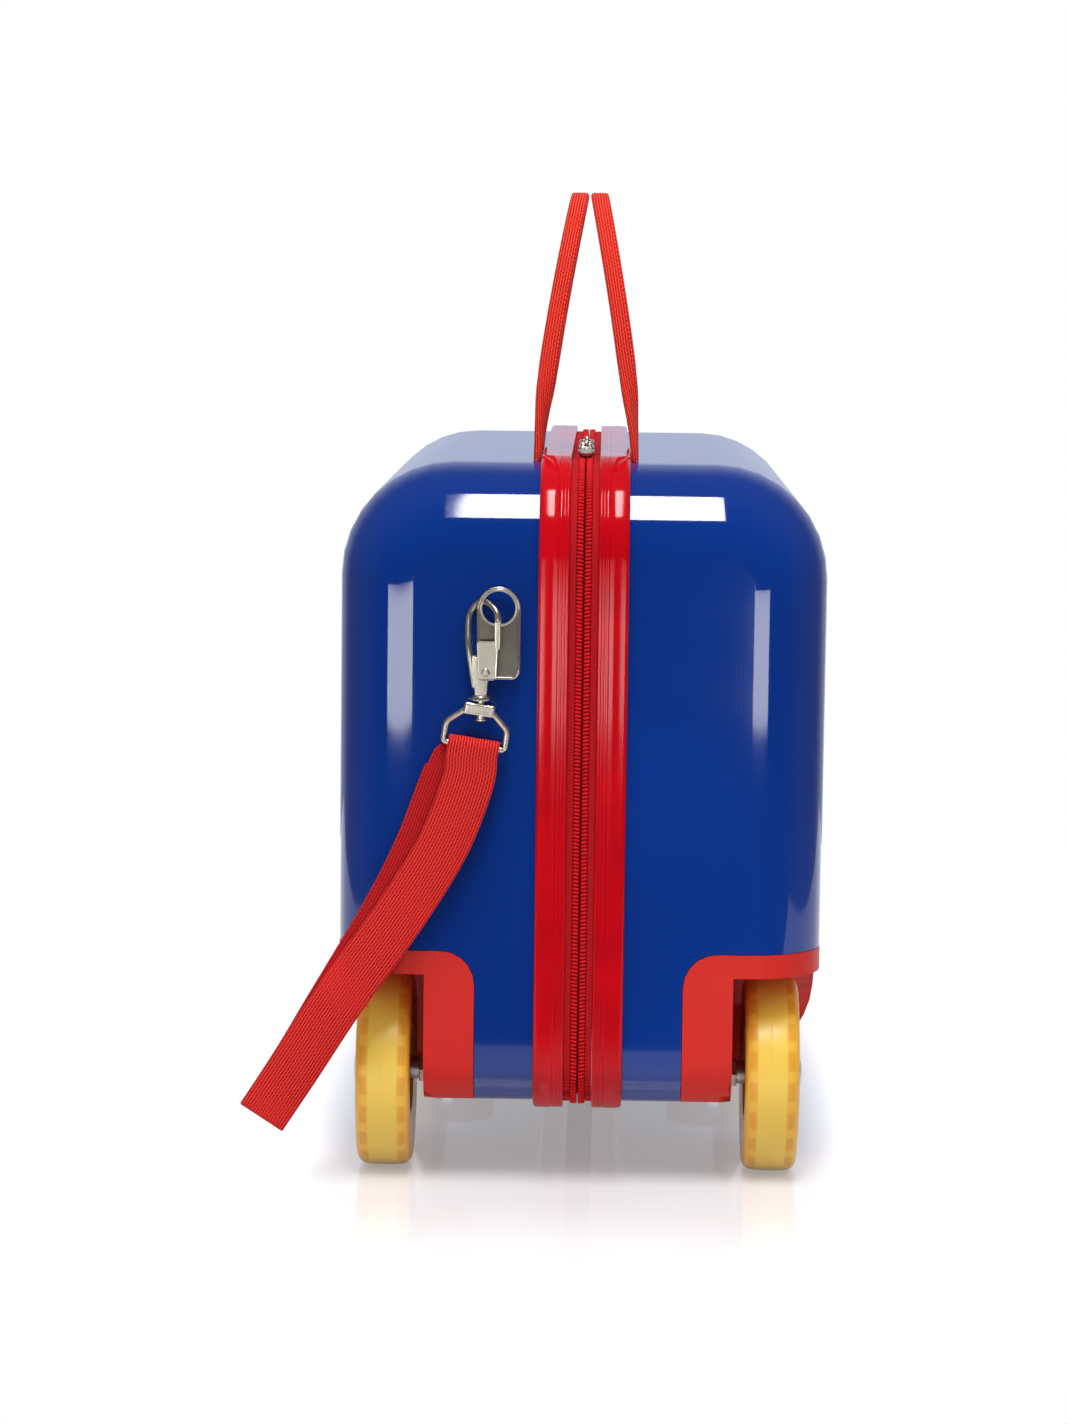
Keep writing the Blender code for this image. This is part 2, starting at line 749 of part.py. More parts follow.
def handle_y():
    """The middle of a handle's two feet, towards the front end, where a rider holds on."""
    return HANDLE_FROM_END - HALF_LENGTH


def handle_sections(sign, base_x, base_z):
    """Webbing that leaves the seam edge on, and turns flat by the top of its arch."""
    crest_x = (HANDLE_WEB_WIDTH + HANDLE_CREST_GAP) / 2
    places = []
    for i in range(HANDLE_STEPS + 1):
        angle = math.pi * i / HANDLE_STEPS
        along = math.cos(angle)
        rise = math.sin(angle) ** HANDLE_TOP_POWER if 0 < i < HANDLE_STEPS else 0.0
        y = handle_y() - HANDLE_SPREAD * math.copysign(abs(along) ** HANDLE_SIDE_POWER, along)
        x = base_x + (crest_x - base_x) * rise**HANDLE_LEAN_POWER
        places.append((Vector((sign * x, y, base_z + HANDLE_RISE * rise)), rise))
    sections = []
    for i, (middle, rise) in enumerate(places):
        before = places[max(0, i - 1)][0]
        after = places[min(HANDLE_STEPS, i + 1)][0]
        along = (after - before).normalized()
        if i in (0, HANDLE_STEPS):
            along = Vector((0, 0, 1 if i == 0 else -1))
        flat = (Vector((1, 0, 0)) - along * along.x).normalized()
        edge = along.cross(flat)
        share = min(1.0, rise / HANDLE_TWIST_SHARE)
        turn = math.radians(90) * (1 - share * share * (3 - 2 * share))
        if i > HANDLE_STEPS / 2:
            turn = -turn
        across = flat * math.cos(turn) + edge * math.sin(turn)
        sections.append((middle, across, along.cross(across)))
    return sections


def make_handle(side, sign):
    """The handle's origin is on the line it folds about, at the outer foot of the webbing."""
    base_x = GASKET_OUTER + 2 * GAP + HANDLE_WEB_THICKNESS / 2
    sections = handle_sections(sign, base_x, CASE_TOP + GAP)
    mesh = ribbon(sections, HANDLE_WEB_WIDTH, HANDLE_WEB_THICKNESS)
    foot_x = base_x + HANDLE_WEB_THICKNESS / 2
    pivot = Vector((sign * foot_x, handle_y(), CASE_TOP + GAP))
    mesh.transform(Matrix.Translation(-pivot))
    handle = add_object(f"handle_{side}", mesh, RED_WEBBING, smooth=True)
    handle.location = pivot


def make_slider(name, y):
    low = CASE_TOP + COIL_PROUD + GAP
    top = low + SLIDER_THICKNESS
    wide = SLIDER_WIDTH / 2
    half = SLIDER_LENGTH / 2
    mesh = block((-wide, y - half, low), (wide, y + half, top), SMALL_EDGE, 1)
    slider = add_object(f"zip_slider_{name}", mesh, NICKEL)
    post_low = (-BRIDGE_WIDTH / 2, y - BRIDGE_LENGTH / 2, top - OVERLAP)
    post_high = (BRIDGE_WIDTH / 2, y + BRIDGE_LENGTH / 2, top + BRIDGE_HEIGHT)
    post = add_cutter(f"bridge_{name}", block(post_low, post_high, SMALL_EDGE, 1))
    boolean(slider, post, "UNION")
    eye_z = top + BRIDGE_HEIGHT / 2
    hole = rod((-wide, y, eye_z), (wide, y, eye_z), PULLER_HOLE, PIN_SIDES)
    boolean(slider, add_cutter(f"eye_{name}", hole), "DIFFERENCE")
    make_puller(name, Vector((0, y, eye_z)))


def make_puller(name, eye):
    """A wire eye through the slider's bridge with a plate on it, hinged on its wire."""
    half = PULLER_EYE_WIDTH / 2
    loop = [(-half, 0, 0), (half, 0, 0), (half, -PULLER_EYE_LENGTH, 0), (-half, -PULLER_EYE_LENGTH, 0)]
    puller = add_object(f"zip_puller_{name}", wire(loop, PULLER_WIRE, 1, cyclic=True), NICKEL)
    wide = PULLER_PLATE_WIDTH / 2
    thin = PULLER_PLATE_THICKNESS / 2
    start = -PULLER_EYE_LENGTH + PULLER_WIRE / 2
    mesh = block((-wide, start - PULLER_PLATE_LENGTH, -thin), (wide, start, thin), SMALL_EDGE, 1)
    tab = add_cutter(f"tab_{name}", mesh)
    boolean(puller, tab, "UNION")
    pose = Matrix.Translation(eye) @ Matrix.Rotation(math.radians(PULLER_TILT[name]), 4, "X")
    puller.matrix_world = pose
    tab.matrix_world = pose


def make_anchor():
    """A plate with a ring at its top, held off the shell by a boss and a screw from inside."""
    bottom = ANCHOR_RING_Z + ANCHOR_RADIUS - ANCHOR_HEIGHT
    low = bottom + ANCHOR_CORNER
    inner = ANCHOR_RADIUS - ANCHOR_CORNER
    outline = (
        arc((ANCHOR_X, ANCHOR_RING_Z), ANCHOR_RADIUS, 0, 180, 16)
        + arc((ANCHOR_X - inner, low), ANCHOR_CORNER, 180, 270, 4)
        + arc((ANCHOR_X + inner, low), ANCHOR_CORNER, 270, 360, 4)
    )
    hole = arc((ANCHOR_X, ANCHOR_RING_Z), ANCHOR_HOLE, 0, 345, 23)
    mesh = plate([outline, hole], ANCHOR_THICKNESS)
    back = FACE_Y - ANCHOR_STAND_OFF
    mesh.transform(Matrix.Translation((0, back - ANCHOR_THICKNESS / 2, 0)))
    anchor = add_object("strap_anchor", mesh, NICKEL, smooth=True)
    wide = ANCHOR_BOSS_WIDTH / 2
    tall = ANCHOR_BOSS_HEIGHT / 2
    boss_low = (ANCHOR_X - wide, back - ANCHOR_THICKNESS / 2, ANCHOR_BOSS_Z - tall)
    boss_high = (ANCHOR_X + wide, FACE_Y - GAP, ANCHOR_BOSS_Z + tall)
    boolean(anchor, add_cutter("anchor_boss", block(boss_low, boss_high)), "UNION")
    inside = FACE_Y + WALL
    bore = rod((ANCHOR_X, back - GAP, ANCHOR_BOSS_Z), (ANCHOR_X, inside, ANCHOR_BOSS_Z), SCREW_RADIUS + GAP)
    boolean(anchor, add_cutter("anchor_bore", bore), "DIFFERENCE")
    through = rod(
        (ANCHOR_X, FACE_Y - WALL, ANCHOR_BOSS_Z),
        (ANCHOR_X, FACE_Y + 2 * WALL, ANCHOR_BOSS_Z),
        SCREW_RADIUS + GAP,
    )
    boolean(bpy.data.objects["shell_left"], add_cutter("screw_hole", through), "DIFFERENCE")
    head_room = rod(
        (ANCHOR_X, inside, ANCHOR_BOSS_Z),
        (ANCHOR_X, inside + 2 * WALL, ANCHOR_BOSS_Z),
        SCREW_HEAD_RADIUS + 2 * GAP,
    )
    boolean(bpy.data.objects["lining_left"], add_cutter("screw_room", head_room), "DIFFERENCE")
    head_start = inside + GAP
    shank = rod(
        (ANCHOR_X, head_start - SCREW_LENGTH, ANCHOR_BOSS_Z),
        (ANCHOR_X, head_start + SCREW_HEAD / 2, ANCHOR_BOSS_Z),
        SCREW_RADIUS,
    )
    screw = add_object("anchor_screw", shank, STEEL)
    head = rod(
        (ANCHOR_X, head_start, ANCHOR_BOSS_Z),
        (ANCHOR_X, head_start + SCREW_HEAD, ANCHOR_BOSS_Z),
        SCREW_HEAD_RADIUS,
    )
    boolean(screw, add_cutter("screw_head", head), "UNION")


def make_hook():
    """A wire bow, up the left side, behind the anchor's ring and back out through its hole."""
    line = smooth_line(BOW_ROUTE, BOW_STEPS)
    hook = add_object("hook_body", wire(line, HOOK_WIRE), NICKEL, smooth=True)
    shank_x = (SHANK_X - SHANK_WIDTH / 2, SHANK_X + SHANK_WIDTH / 2)
    shank = block(
        (shank_x[0], HOOK_Y - HOOK_WIRE, SHANK_BOTTOM - OVERLAP),
        (shank_x[1], HOOK_Y + HOOK_WIRE, SHANK_TOP),
        SMALL_EDGE,
        1,
    )
    boolean(hook, add_cutter("shank", shank), "UNION")
    collar = rod(
        (SHANK_X, HOOK_Y, SHANK_BOTTOM - COLLAR_THICKNESS), (SHANK_X, HOOK_Y, SHANK_BOTTOM), COLLAR_RADIUS
    )
    boolean(hook, add_cutter("collar", collar), "UNION")
    stud_bottom = SHANK_BOTTOM - COLLAR_THICKNESS - GAP
    ream = rod(
        (SHANK_X, HOOK_Y, stud_bottom - OVERLAP),
        (SHANK_X, HOOK_Y, SHANK_BOTTOM - GAP),
        SWIVEL_RADIUS + GAP,
        PIN_SIDES,
    )
    boolean(hook, add_cutter("stud_seat", ream), "DIFFERENCE")
    pin_bore = rod(
        (PIN_X, HOOK_Y - BORE_REACH, PIN_Z),
        (PIN_X, HOOK_Y + BORE_REACH, PIN_Z),
        PIN_RADIUS + GAP,
        PIN_SIDES,
    )
    boolean(hook, add_cutter("pin_bore", pin_bore), "DIFFERENCE")
    make_gate()
    make_swivel(stud_bottom)


def make_gate():
    """A pressed lever in front of the shank, with a finger that closes the bow."""
    front = HOOK_Y - HOOK_WIRE - GAP
    wide = GATE_WIDTH / 2
    lever = block(
        (GATE_X - wide, front - GATE_THICKNESS, GATE_BOTTOM),
        (GATE_X + wide, front, GATE_BOTTOM + GATE_HEIGHT),
        GATE_EDGE,
        1,
    )
    gate = add_object("hook_gate", lever, NICKEL)
    end_x, _, end_z = BOW_ROUTE[-1]
    finger = block(
        (end_x - FINGER_WIDTH / 2, front - GATE_THICKNESS, GATE_BOTTOM + GATE_HEIGHT - BORE_REACH),
        (end_x + FINGER_WIDTH / 2, front, end_z + FINGER_PAST_BOW),
    )
    boolean(gate, add_cutter("gate_finger", finger), "UNION")
    sleeve = rod(
        (PIN_X, front - BORE_REACH, PIN_Z),
        (PIN_X, front + BORE_REACH, PIN_Z),
        PIN_RADIUS + GAP,
        PIN_SIDES,
    )
    boolean(gate, add_cutter("gate_bore", sleeve), "DIFFERENCE")
    pin_front = front - GATE_THICKNESS - GAP
    shaft = rod(
        (PIN_X, pin_front - PIN_CAP / 2, PIN_Z),
        (PIN_X, HOOK_Y + HOOK_WIRE, PIN_Z),
        PIN_RADIUS,
        PIN_SIDES,
    )
    pin = add_object("gate_pin", shaft, NICKEL)
    cap = rod(
        (PIN_X, pin_front - PIN_CAP, PIN_Z), (PIN_X, pin_front, PIN_Z), PIN_CAP_RADIUS, PIN_SIDES
    )
    boolean(pin, add_cutter("pin_cap", cap), "UNION")


def ring_outline():
    """The swivel ring seen from the front, and its opening, hung from the middle of its top."""
    block_half = RING_BLOCK_WIDTH / 2 - RING_SINK
    arm = RING_HALF_WIDTH
    stock = RING_STOCK
    bar = -RING_BAR_DROP
    shoulder = -RING_SHOULDER_DROP
    neck = RING_SINK - RING_BLOCK_HEIGHT
    outer = [
        (block_half, -RING_SINK),
        (block_half, neck / 2),
        (arm, shoulder),
        (arm, bar - stock / 2),
        (-arm, bar - stock / 2),
        (-arm, shoulder),
        (-block_half, neck / 2),
        (-block_half, -RING_SINK),
    ]
    inner = [
        (block_half - stock, neck),
        (arm - stock, shoulder - stock / 2),
        (arm - stock, bar + stock / 2),
        (stock - arm, bar + stock / 2),
        (stock - arm, shoulder - stock / 2),
        (stock - block_half, neck),
    ]
    return [outer, inner]


def make_swivel(stud_bottom):
    """The ring leans within the play of its swivel; the rivet and its bore stay upright."""
    top = Vector((SHANK_X, HOOK_Y, stud_bottom))
    lean = Matrix.Translation(top) @ Matrix.Rotation(RING_LEAN, 4, "Y")
    mesh = plate(ring_outline(), RING_STOCK)
    mesh.transform(lean @ Matrix.Translation((0, 0, -RING_DROP)))
    ring = add_object("swivel_ring", mesh, NICKEL)
    half = RING_BLOCK_WIDTH / 2
    deep = RING_BLOCK_DEPTH / 2
    body = block((-half, -deep, -RING_BLOCK_HEIGHT), (half, deep, 0), SMALL_EDGE, 1)
    body.transform(lean @ Matrix.Translation((0, 0, -RING_DROP)))
    boolean(ring, add_cutter("ring_block", body), "UNION")
    head_top = stud_bottom - RING_BLOCK_HEIGHT - RIVET_PAST_BLOCK
    bore = rod(
        (SHANK_X, HOOK_Y, head_top - OVERLAP),
        (SHANK_X, HOOK_Y, stud_bottom + OVERLAP),
        SWIVEL_RADIUS + GAP,
        PIN_SIDES,
    )
    boolean(ring, add_cutter("ring_bore", bore), "DIFFERENCE")
    stem = rod(
        (SHANK_X, HOOK_Y, head_top - SWIVEL_HEAD / 2),
        (SHANK_X, HOOK_Y, SHANK_BOTTOM - 2 * GAP),
        SWIVEL_RADIUS,
        PIN_SIDES,
    )
    rivet = add_object("swivel_rivet", stem, NICKEL)
    head = rod(
        (SHANK_X, HOOK_Y, head_top - SWIVEL_HEAD),
        (SHANK_X, HOOK_Y, head_top),
        SWIVEL_HEAD_RADIUS,
        PIN_SIDES,
    )
    boolean(rivet, add_cutter("rivet_head", head), "UNION")


def make_pull_loop():
    """A closed loop of webbing over the ring's bar: front leg, fold, back leg, and over the bar."""
    hang = Vector((SHANK_X, 0, SHANK_BOTTOM - COLLAR_THICKNESS - GAP))
    down = Vector((-math.sin(RING_LEAN), 0, -math.cos(RING_LEAN)))
    bar = hang + down * (RING_BAR_DROP + RING_DROP)
    route = [bar, bar + down * LOOP_STRAIGHT] + [Vector((x, 0, z)) for x, z in LOOP_ROUTE]
    line = smooth_line(route, LOOP_STEPS)
    thick = LOOP_WEB_THICKNESS
    top_gap = RING_STOCK / 2 * math.sqrt(2) + GAP + thick / 2
    end_gap = thick / 2 + GAP
    front = Vector((0, -1, 0))
    legs = []
    for i, middle in enumerate(line):
        before = line[max(0, i - 1)]
        after = line[min(LOOP_STEPS, i + 1)]
        along = (after - before).normalized()
        across = along.cross(front)
        share = i / LOOP_STEPS
        gap = top_gap + (end_gap - top_gap) * share
        shift = LOOP_BACK_SHIFT * math.sin(math.pi * share**0.75) ** 1.2 * (1 - share)
        legs.append((middle, along, across, gap, across * shift))
    at_y = Vector((0, HOOK_Y, 0))
    sections = [(m + at_y + front * g, a, front) for m, _, a, g, _ in legs]
    middle, along, across, gap, _ = legs[-1]
    for angle in (30, 60, 90, 120, 150):
        out = front * math.cos(math.radians(angle)) + along * math.sin(math.radians(angle))
        sections.append((middle + at_y + out * gap, across, out))
    sections += [(m + at_y - front * g + s, a, -front) for m, _, a, g, s in reversed(legs)]
    middle, along, across, gap, _ = legs[0]
    for angle in (150, 120, 90, 60, 30):
        out = front * math.cos(math.radians(angle)) - along * math.sin(math.radians(angle))
        sections.append((middle + at_y + out * gap, across, out))
    mesh = ribbon(sections, LOOP_WEB_WIDTH, thick, closed=True)
    add_object("pull_loop", mesh, RED_WEBBING, smooth=True)


clear_scene()
parts = collection("ride_on_suitcase")
cutters = collection("cutters")

for side_name, side_sign in SIDES.items():
    make_shell(side_name, side_sign)
    make_lining(side_name, side_sign)
    make_seam(side_name, side_sign)
    for end_name, end_sign in ENDS.items():
        make_housing(side_name, side_sign, end_name, end_sign)
        make_wheel(side_name, side_sign, end_name, end_sign)
    make_handle(side_name, side_sign)
make_hinge_fabric()
make_divider()
make_packing_straps()
for slider_name, from_end in SLIDER_FROM_END.items():
    make_slider(slider_name, from_end - HALF_LENGTH)
make_anchor()
make_hook()
make_pull_loop()
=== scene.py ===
"""Looks of a child's ride-on suitcase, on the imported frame.

Metres, +Z up, front end towards -Y. The named sizes repeat the part's own values.
"""

from math import copysign, cos, pi, radians, sin, sqrt

import bmesh
import bpy
from mathutils import Euler, Matrix, Vector


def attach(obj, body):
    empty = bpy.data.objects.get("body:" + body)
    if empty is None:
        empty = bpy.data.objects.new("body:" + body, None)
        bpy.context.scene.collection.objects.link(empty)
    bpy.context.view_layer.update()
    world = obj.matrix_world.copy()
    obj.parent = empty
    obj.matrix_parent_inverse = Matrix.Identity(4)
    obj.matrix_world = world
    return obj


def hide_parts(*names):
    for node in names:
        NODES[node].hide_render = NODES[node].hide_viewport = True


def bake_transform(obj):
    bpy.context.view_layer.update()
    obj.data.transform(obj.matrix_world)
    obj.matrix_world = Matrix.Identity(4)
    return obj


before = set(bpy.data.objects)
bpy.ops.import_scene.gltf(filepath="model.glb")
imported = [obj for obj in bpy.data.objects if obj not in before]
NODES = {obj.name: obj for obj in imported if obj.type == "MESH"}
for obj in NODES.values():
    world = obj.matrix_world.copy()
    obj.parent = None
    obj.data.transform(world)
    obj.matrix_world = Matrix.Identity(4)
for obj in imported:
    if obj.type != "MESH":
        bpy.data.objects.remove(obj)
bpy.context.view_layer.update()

SIDES = {"left": -1, "right": 1}
ENDS = {"front": -1, "rear": 1}

# Case
HALF_LENGTH = 0.225
CASE_BOTTOM = 0.040
CASE_TOP = 0.356
END_TO_TOP = 0.045
END_TO_BOTTOM = 0.022
GAP = 0.0003
WELD = 1e-6
FACE_Y = -HALF_LENGTH
HINGE_HALF = 0.188
HINGE_WIDTH = 0.0134

# Wheels
WHEEL_X = 0.0965
WHEEL_Y = 0.173
WHEEL_RADIUS = 0.049
WHEEL_WIDTH = 0.027
HUB_RADIUS = 0.024
AXLE_START_X = 0.058
NUT_START_X = 0.0763
NUT_HEIGHT = 0.0038

# Handles
HANDLE_Y = -0.115
HANDLE_WIDTH = 0.0092
HANDLE_THICKNESS = 0.0036
HANDLE_SPREAD = 0.050
HANDLE_RISE = 0.1315
HANDLE_FOOT_X = 0.0244
HANDLE_CREST_X = 0.005
HANDLE_FOOT_Z = 0.3563

# Hook set and pull loop
HOOK_Y = -0.2336
SHANK_X = -0.0492
SWIVEL_Z = 0.2425
RING_LEAN = radians(8.4)
RING_STOCK = 0.003
RING_HALF = 0.0165
RING_DROP = 0.0012
RING_BAR_DROP = 0.021
LOOP_WIDTH = 0.025
LOOP_THICKNESS = 0.0016
LOOP_ROUTE = (
    (-0.0542, 0.2051), (-0.0605, 0.1858), (-0.0678, 0.1693),
    (-0.0786, 0.1506), (-0.0925, 0.1293), (-0.1072, 0.1087),
    (-0.1216, 0.0874), (-0.1371, 0.0627), (-0.1540, 0.0366),
)
LOOP_STRAIGHT = 0.006
LOOP_BACK_SHIFT = 0.0165
LOOP_STEPS = 48


def add_object(name, data):
    """A new object of the scene, at the origin."""
    made = bpy.data.objects.new(name, data)
    bpy.context.scene.collection.objects.link(made)
    return made


def make_camera():
    data = bpy.data.cameras.new("camera")
    camera = add_object("camera", data)
    camera.location = (0.0096, -2.1362, 0.4539)
    camera.rotation_euler = Euler((radians(83.51), radians(-0.70), radians(1.07)))
    data.lens = 99.83
    data.sensor_width = 36.0
    data.clip_start = 0.1
    data.clip_end = 50.0
    bpy.context.scene.camera = camera


make_camera()
bpy.context.scene.view_settings.view_transform = "Standard"


class Value:
    """A socket of a material's node tree, with arithmetic that adds Math nodes."""

    def __init__(self, tree, socket):
        self.tree = tree
        self.socket = socket

    def math(self, operation, *others):
        return node(self.tree, "ShaderNodeMath", {"operation": operation}, [self, *others])

    def __add__(self, other):
        return self.math("ADD", other)

    __radd__ = __add__

    def __sub__(self, other):
        return self.math("SUBTRACT", other)

    def __rsub__(self, other):
        return node(self.tree, "ShaderNodeMath", {"operation": "SUBTRACT"}, [other, self])

    def __mul__(self, other):
        return self.math("MULTIPLY", other)

    __rmul__ = __mul__

    def __truediv__(self, other):
        return self.math("DIVIDE", other)

    def __abs__(self):
        return self.math("ABSOLUTE")

    def step(self, low, high):
        """0 below the first value and 1 above the second; falls if they are swapped."""
        if low > high:
            return 1 - self.step(high, low)
        settings = {"interpolation_type": "SMOOTHSTEP"}
        inputs = {"Value": self, "From Min": low, "From Max": high}
        return node(self.tree, "ShaderNodeMapRange", settings, inputs)

    def between(self, low, high, soft):
        """1 from the first value to the second, and 0 outside them."""
        return self.step(low - soft, low + soft) * self.step(high + soft, high - soft)

    def repeats(self, pitch):
        """Distance from the middle of the nearest repeat, from 0 to half a pitch."""
        return abs(self.math("PINGPONG", pitch / 2))

    def wave(self, pitch):
        """A smooth wave from 0 to 1 with a pitch."""
        return 0.5 + 0.5 * (self * (2 * pi / pitch)).math("COSINE")


def node(tree, kind, settings=None, inputs=None, output=0):
    """Adds any node, sets its settings first, and then its sockets by place or by name."""
    made = tree.nodes.new(kind)
    for key, setting in (settings or {}).items():
        if key == "stops":
            ramp = made.color_ramp
            while len(ramp.elements) < len(setting):
                ramp.elements.new(0.5)
            for element, (place, colour) in zip(ramp.elements, setting):
                element.position = place
                element.color = colour
        else:
            setattr(made, key, setting)
    pairs = inputs.items() if isinstance(inputs, dict) else enumerate(inputs or [])
    for key, given in pairs:
        if isinstance(given, Value):
            tree.links.new(given.socket, made.inputs[key])
        else:
            made.inputs[key].default_value = given
    return Value(tree, made.outputs[output])


def mixed(tree, share, first, second):
    """A colour between two."""
    inputs = {0: share, 6: first, 7: second}
    return node(tree, "ShaderNodeMix", {"data_type": "RGBA"}, inputs, 2)


def linear(red, green, blue):
    """A colour from its values of 0 to 255 as they look on a screen."""
    out = []
    for channel in (red, green, blue):
        value = channel / 255
        out.append(value / 12.92 if value <= 0.04045 else ((value + 0.055) / 1.055) ** 2.4)
    return (*out, 1.0)


class Finish:
    """One material: its shader, and the inputs that its patterns read."""

    def __init__(self, name, colour, roughness, **sockets):
        self.material = bpy.data.materials.new(name)
        self.material.use_nodes = True
        self.tree = self.material.node_tree
        self.shader = self.tree.nodes["Principled BSDF"]
        self.set("Base Color", colour)
        self.set("Roughness", roughness)
        for key, given in sockets.items():
            self.set(key.replace("_", " ").title().replace("Ior", "IOR"), given)

    def set(self, socket, given):
        if isinstance(given, Value):
            self.tree.links.new(given.socket, self.shader.inputs[socket])
        else:
            self.shader.inputs[socket].default_value = given

    def place(self):
        """Object coordinates, as one vector."""
        return node(self.tree, "ShaderNodeTexCoord", output="Object")

    def axes(self):
        """Object coordinates, as three values."""
        return self.split(self.place())

    def laid(self):
        """The piece's own map, across and along the webbing or cloth, in metres."""
        return self.split(node(self.tree, "ShaderNodeTexCoord", output="UV"))[:2]

    def split(self, vector):
        parts = node(self.tree, "ShaderNodeSeparateXYZ", inputs=[vector])
        return [Value(self.tree, socket) for socket in parts.socket.node.outputs]

    def join(self, x, y, z):
        return node(self.tree, "ShaderNodeCombineXYZ", inputs=[x, y, z])

    def length(self, x, y):
        settings = {"operation": "LENGTH"}
        return node(self.tree, "ShaderNodeVectorMath", settings, [self.join(x, y, 0.0)], 1)

    def noise(self, scale, detail=3.0, vector=None):
        inputs = {"Vector": vector or self.place(), "Scale": scale, "Detail": detail}
        return node(self.tree, "ShaderNodeTexNoise", inputs=inputs)

    def stretched(self, x, y, z):
        """Object coordinates with each axis scaled."""
        inputs = {"Vector": self.place(), "Scale": (x, y, z)}
        return node(self.tree, "ShaderNodeMapping", inputs=inputs)

    def mix(self, share, first, second):
        return mixed(self.tree, share, first, second)

    def drift(self, tone, first, second, low=0.3, high=0.7):
        """A colour that drifts with a noise."""
        return self.mix(tone.step(low, high), first, second)

    def bump(self, height, distance, strength=1.0):
        inputs = {"Height": height, "Distance": distance, "Strength": strength}
        self.set("Normal", node(self.tree, "ShaderNodeBump", inputs=inputs))


FLOOR_HALF = 0.95
FLOOR_FRONT = -0.57
FOOTPRINT = (0.105, 0.215)


def ray_shares(tree, *names):
    """The sum of the chosen outputs of Light Path."""
    path = node(tree, "ShaderNodeLightPath")
    shares = [Value(tree, path.socket.node.outputs[name]) for name in names]
    return sum(shares[1:], shares[0])


def floor_finish():
    """Pale gloss board that keeps a shadow by the object and goes to white further out."""
    finish = Finish("floor_board", linear(212, 210, 211), 0.035, specular_ior_level=0.3)
    x, y, _ = finish.axes()
    beside = (abs(x) - FOOTPRINT[0]).math("MAXIMUM", 0.0) * 4
    before = (abs(y) - FOOTPRINT[1]).math("MAXIMUM", 0.0)
    reach = (beside * beside + before * before).math("SQRT")
    seen = ray_shares(finish.tree, "Is Camera Ray", "Is Glossy Ray", "Is Transmission Ray")
    finish.set("Emission Color", (1.0, 1.0, 1.0, 1.0))
    glow = 0.27 + 0.14 * reach.step(0.03, 0.15) + 0.20 * beside.step(0.05, 0.2)
    finish.set("Emission Strength", seen * glow)
    return finish


def make_stage():
    mesh = bpy.data.meshes.new("floor")
    bm = bmesh.new()
    bmesh.ops.create_grid(bm, x_segments=1, y_segments=1, size=FLOOR_HALF)
    for vert in bm.verts:
        vert.co.y = max(vert.co.y, FLOOR_FRONT)
    bm.to_mesh(mesh)
    bm.free()
    mesh.materials.append(floor_finish().material)
    add_object("floor", mesh)
    world = bpy.data.worlds.new("studio")
    bpy.context.scene.world = world
    world.use_nodes = True
    tree = world.node_tree
    direction = node(tree, "ShaderNodeTexCoord", output="Generated")
    parts = node(tree, "ShaderNodeSeparateXYZ", inputs=[direction]).socket.node.outputs
    beside = Value(tree, parts["Y"]).step(-0.8, 0.0)
    back = Value(tree, parts["Y"]).step(0.5, 0.92)
    white = ray_shares(tree, "Is Camera Ray", "Is Transmission Ray")
    mirrored = ray_shares(tree, "Is Glossy Ray")
    strength = white * 0.58 + mirrored * (beside * 0.14 + back * 0.54 - 0.36) + 0.42
    tree.links.new(strength.socket, tree.nodes["Background"].inputs["Strength"])
    colour = mixed(tree, mirrored * back, (1.0, 1.0, 1.0, 1.0), linear(220, 230, 255))
    tree.links.new(colour.socket, tree.nodes["Background"].inputs["Color"])


def make_lamp(name, place, target, width, height, power, mirrored=True):
    data = bpy.data.lights.new(name, "AREA")
    data.shape = "RECTANGLE"
    data.size = width
    data.size_y = height
    data.energy = power
    lamp = add_object(name, data)
    away = Vector(place) - Vector(target)
    turn = away.to_track_quat("Z", "Y").to_matrix().to_4x4()
    lamp.matrix_world = Matrix.Translation(place) @ turn
    lamp.visible_glossy = mirrored


make_stage()
make_lamp("overhead_strip", (0.0, -1.05, 2.15), (0.0, -0.2, 0.33), 0.31, 1.25, 34)
make_lamp("left_strip", (-0.83, -1.97, 0.07), (-0.1, -0.2, 0.25), 1.30, 0.14, 5)
make_lamp("right_strip", (0.56, -2.11, 0.07), (0.1, -0.2, 0.25), 0.80, 0.14, 3)
make_lamp("left_fill", (-1.25, -1.2, 1.6), (0.0, 0.0, 0.2), 1.0, 1.0, 7.5, False)
make_lamp("right_fill", (1.25, -1.2, 1.6), (0.0, 0.0, 0.2), 1.0, 1.0, 7.5, False)
make_lamp("rear_fill", (0.0, 1.9, 1.3), (0.0, 0.0, 0.2), 1.4, 0.8, 12, False)


PRINT_CENTRE_Z = 0.128
PRINT_SOFTNESS = 0.0003
PRINT_BANDS = (
    (0.104, 0.116, linear(236, 120, 40)),
    (0.118, 0.128, linear(240, 200, 60)),
    (0.130, 0.138, linear(206, 212, 220)),
    (0.140, 0.152, linear(214, 40, 40)),
)
DOT_PITCH = 0.030
DOT_RADIUS = 0.0046
DOT_COLOURS = (linear(240, 200, 60), linear(206, 212, 220))


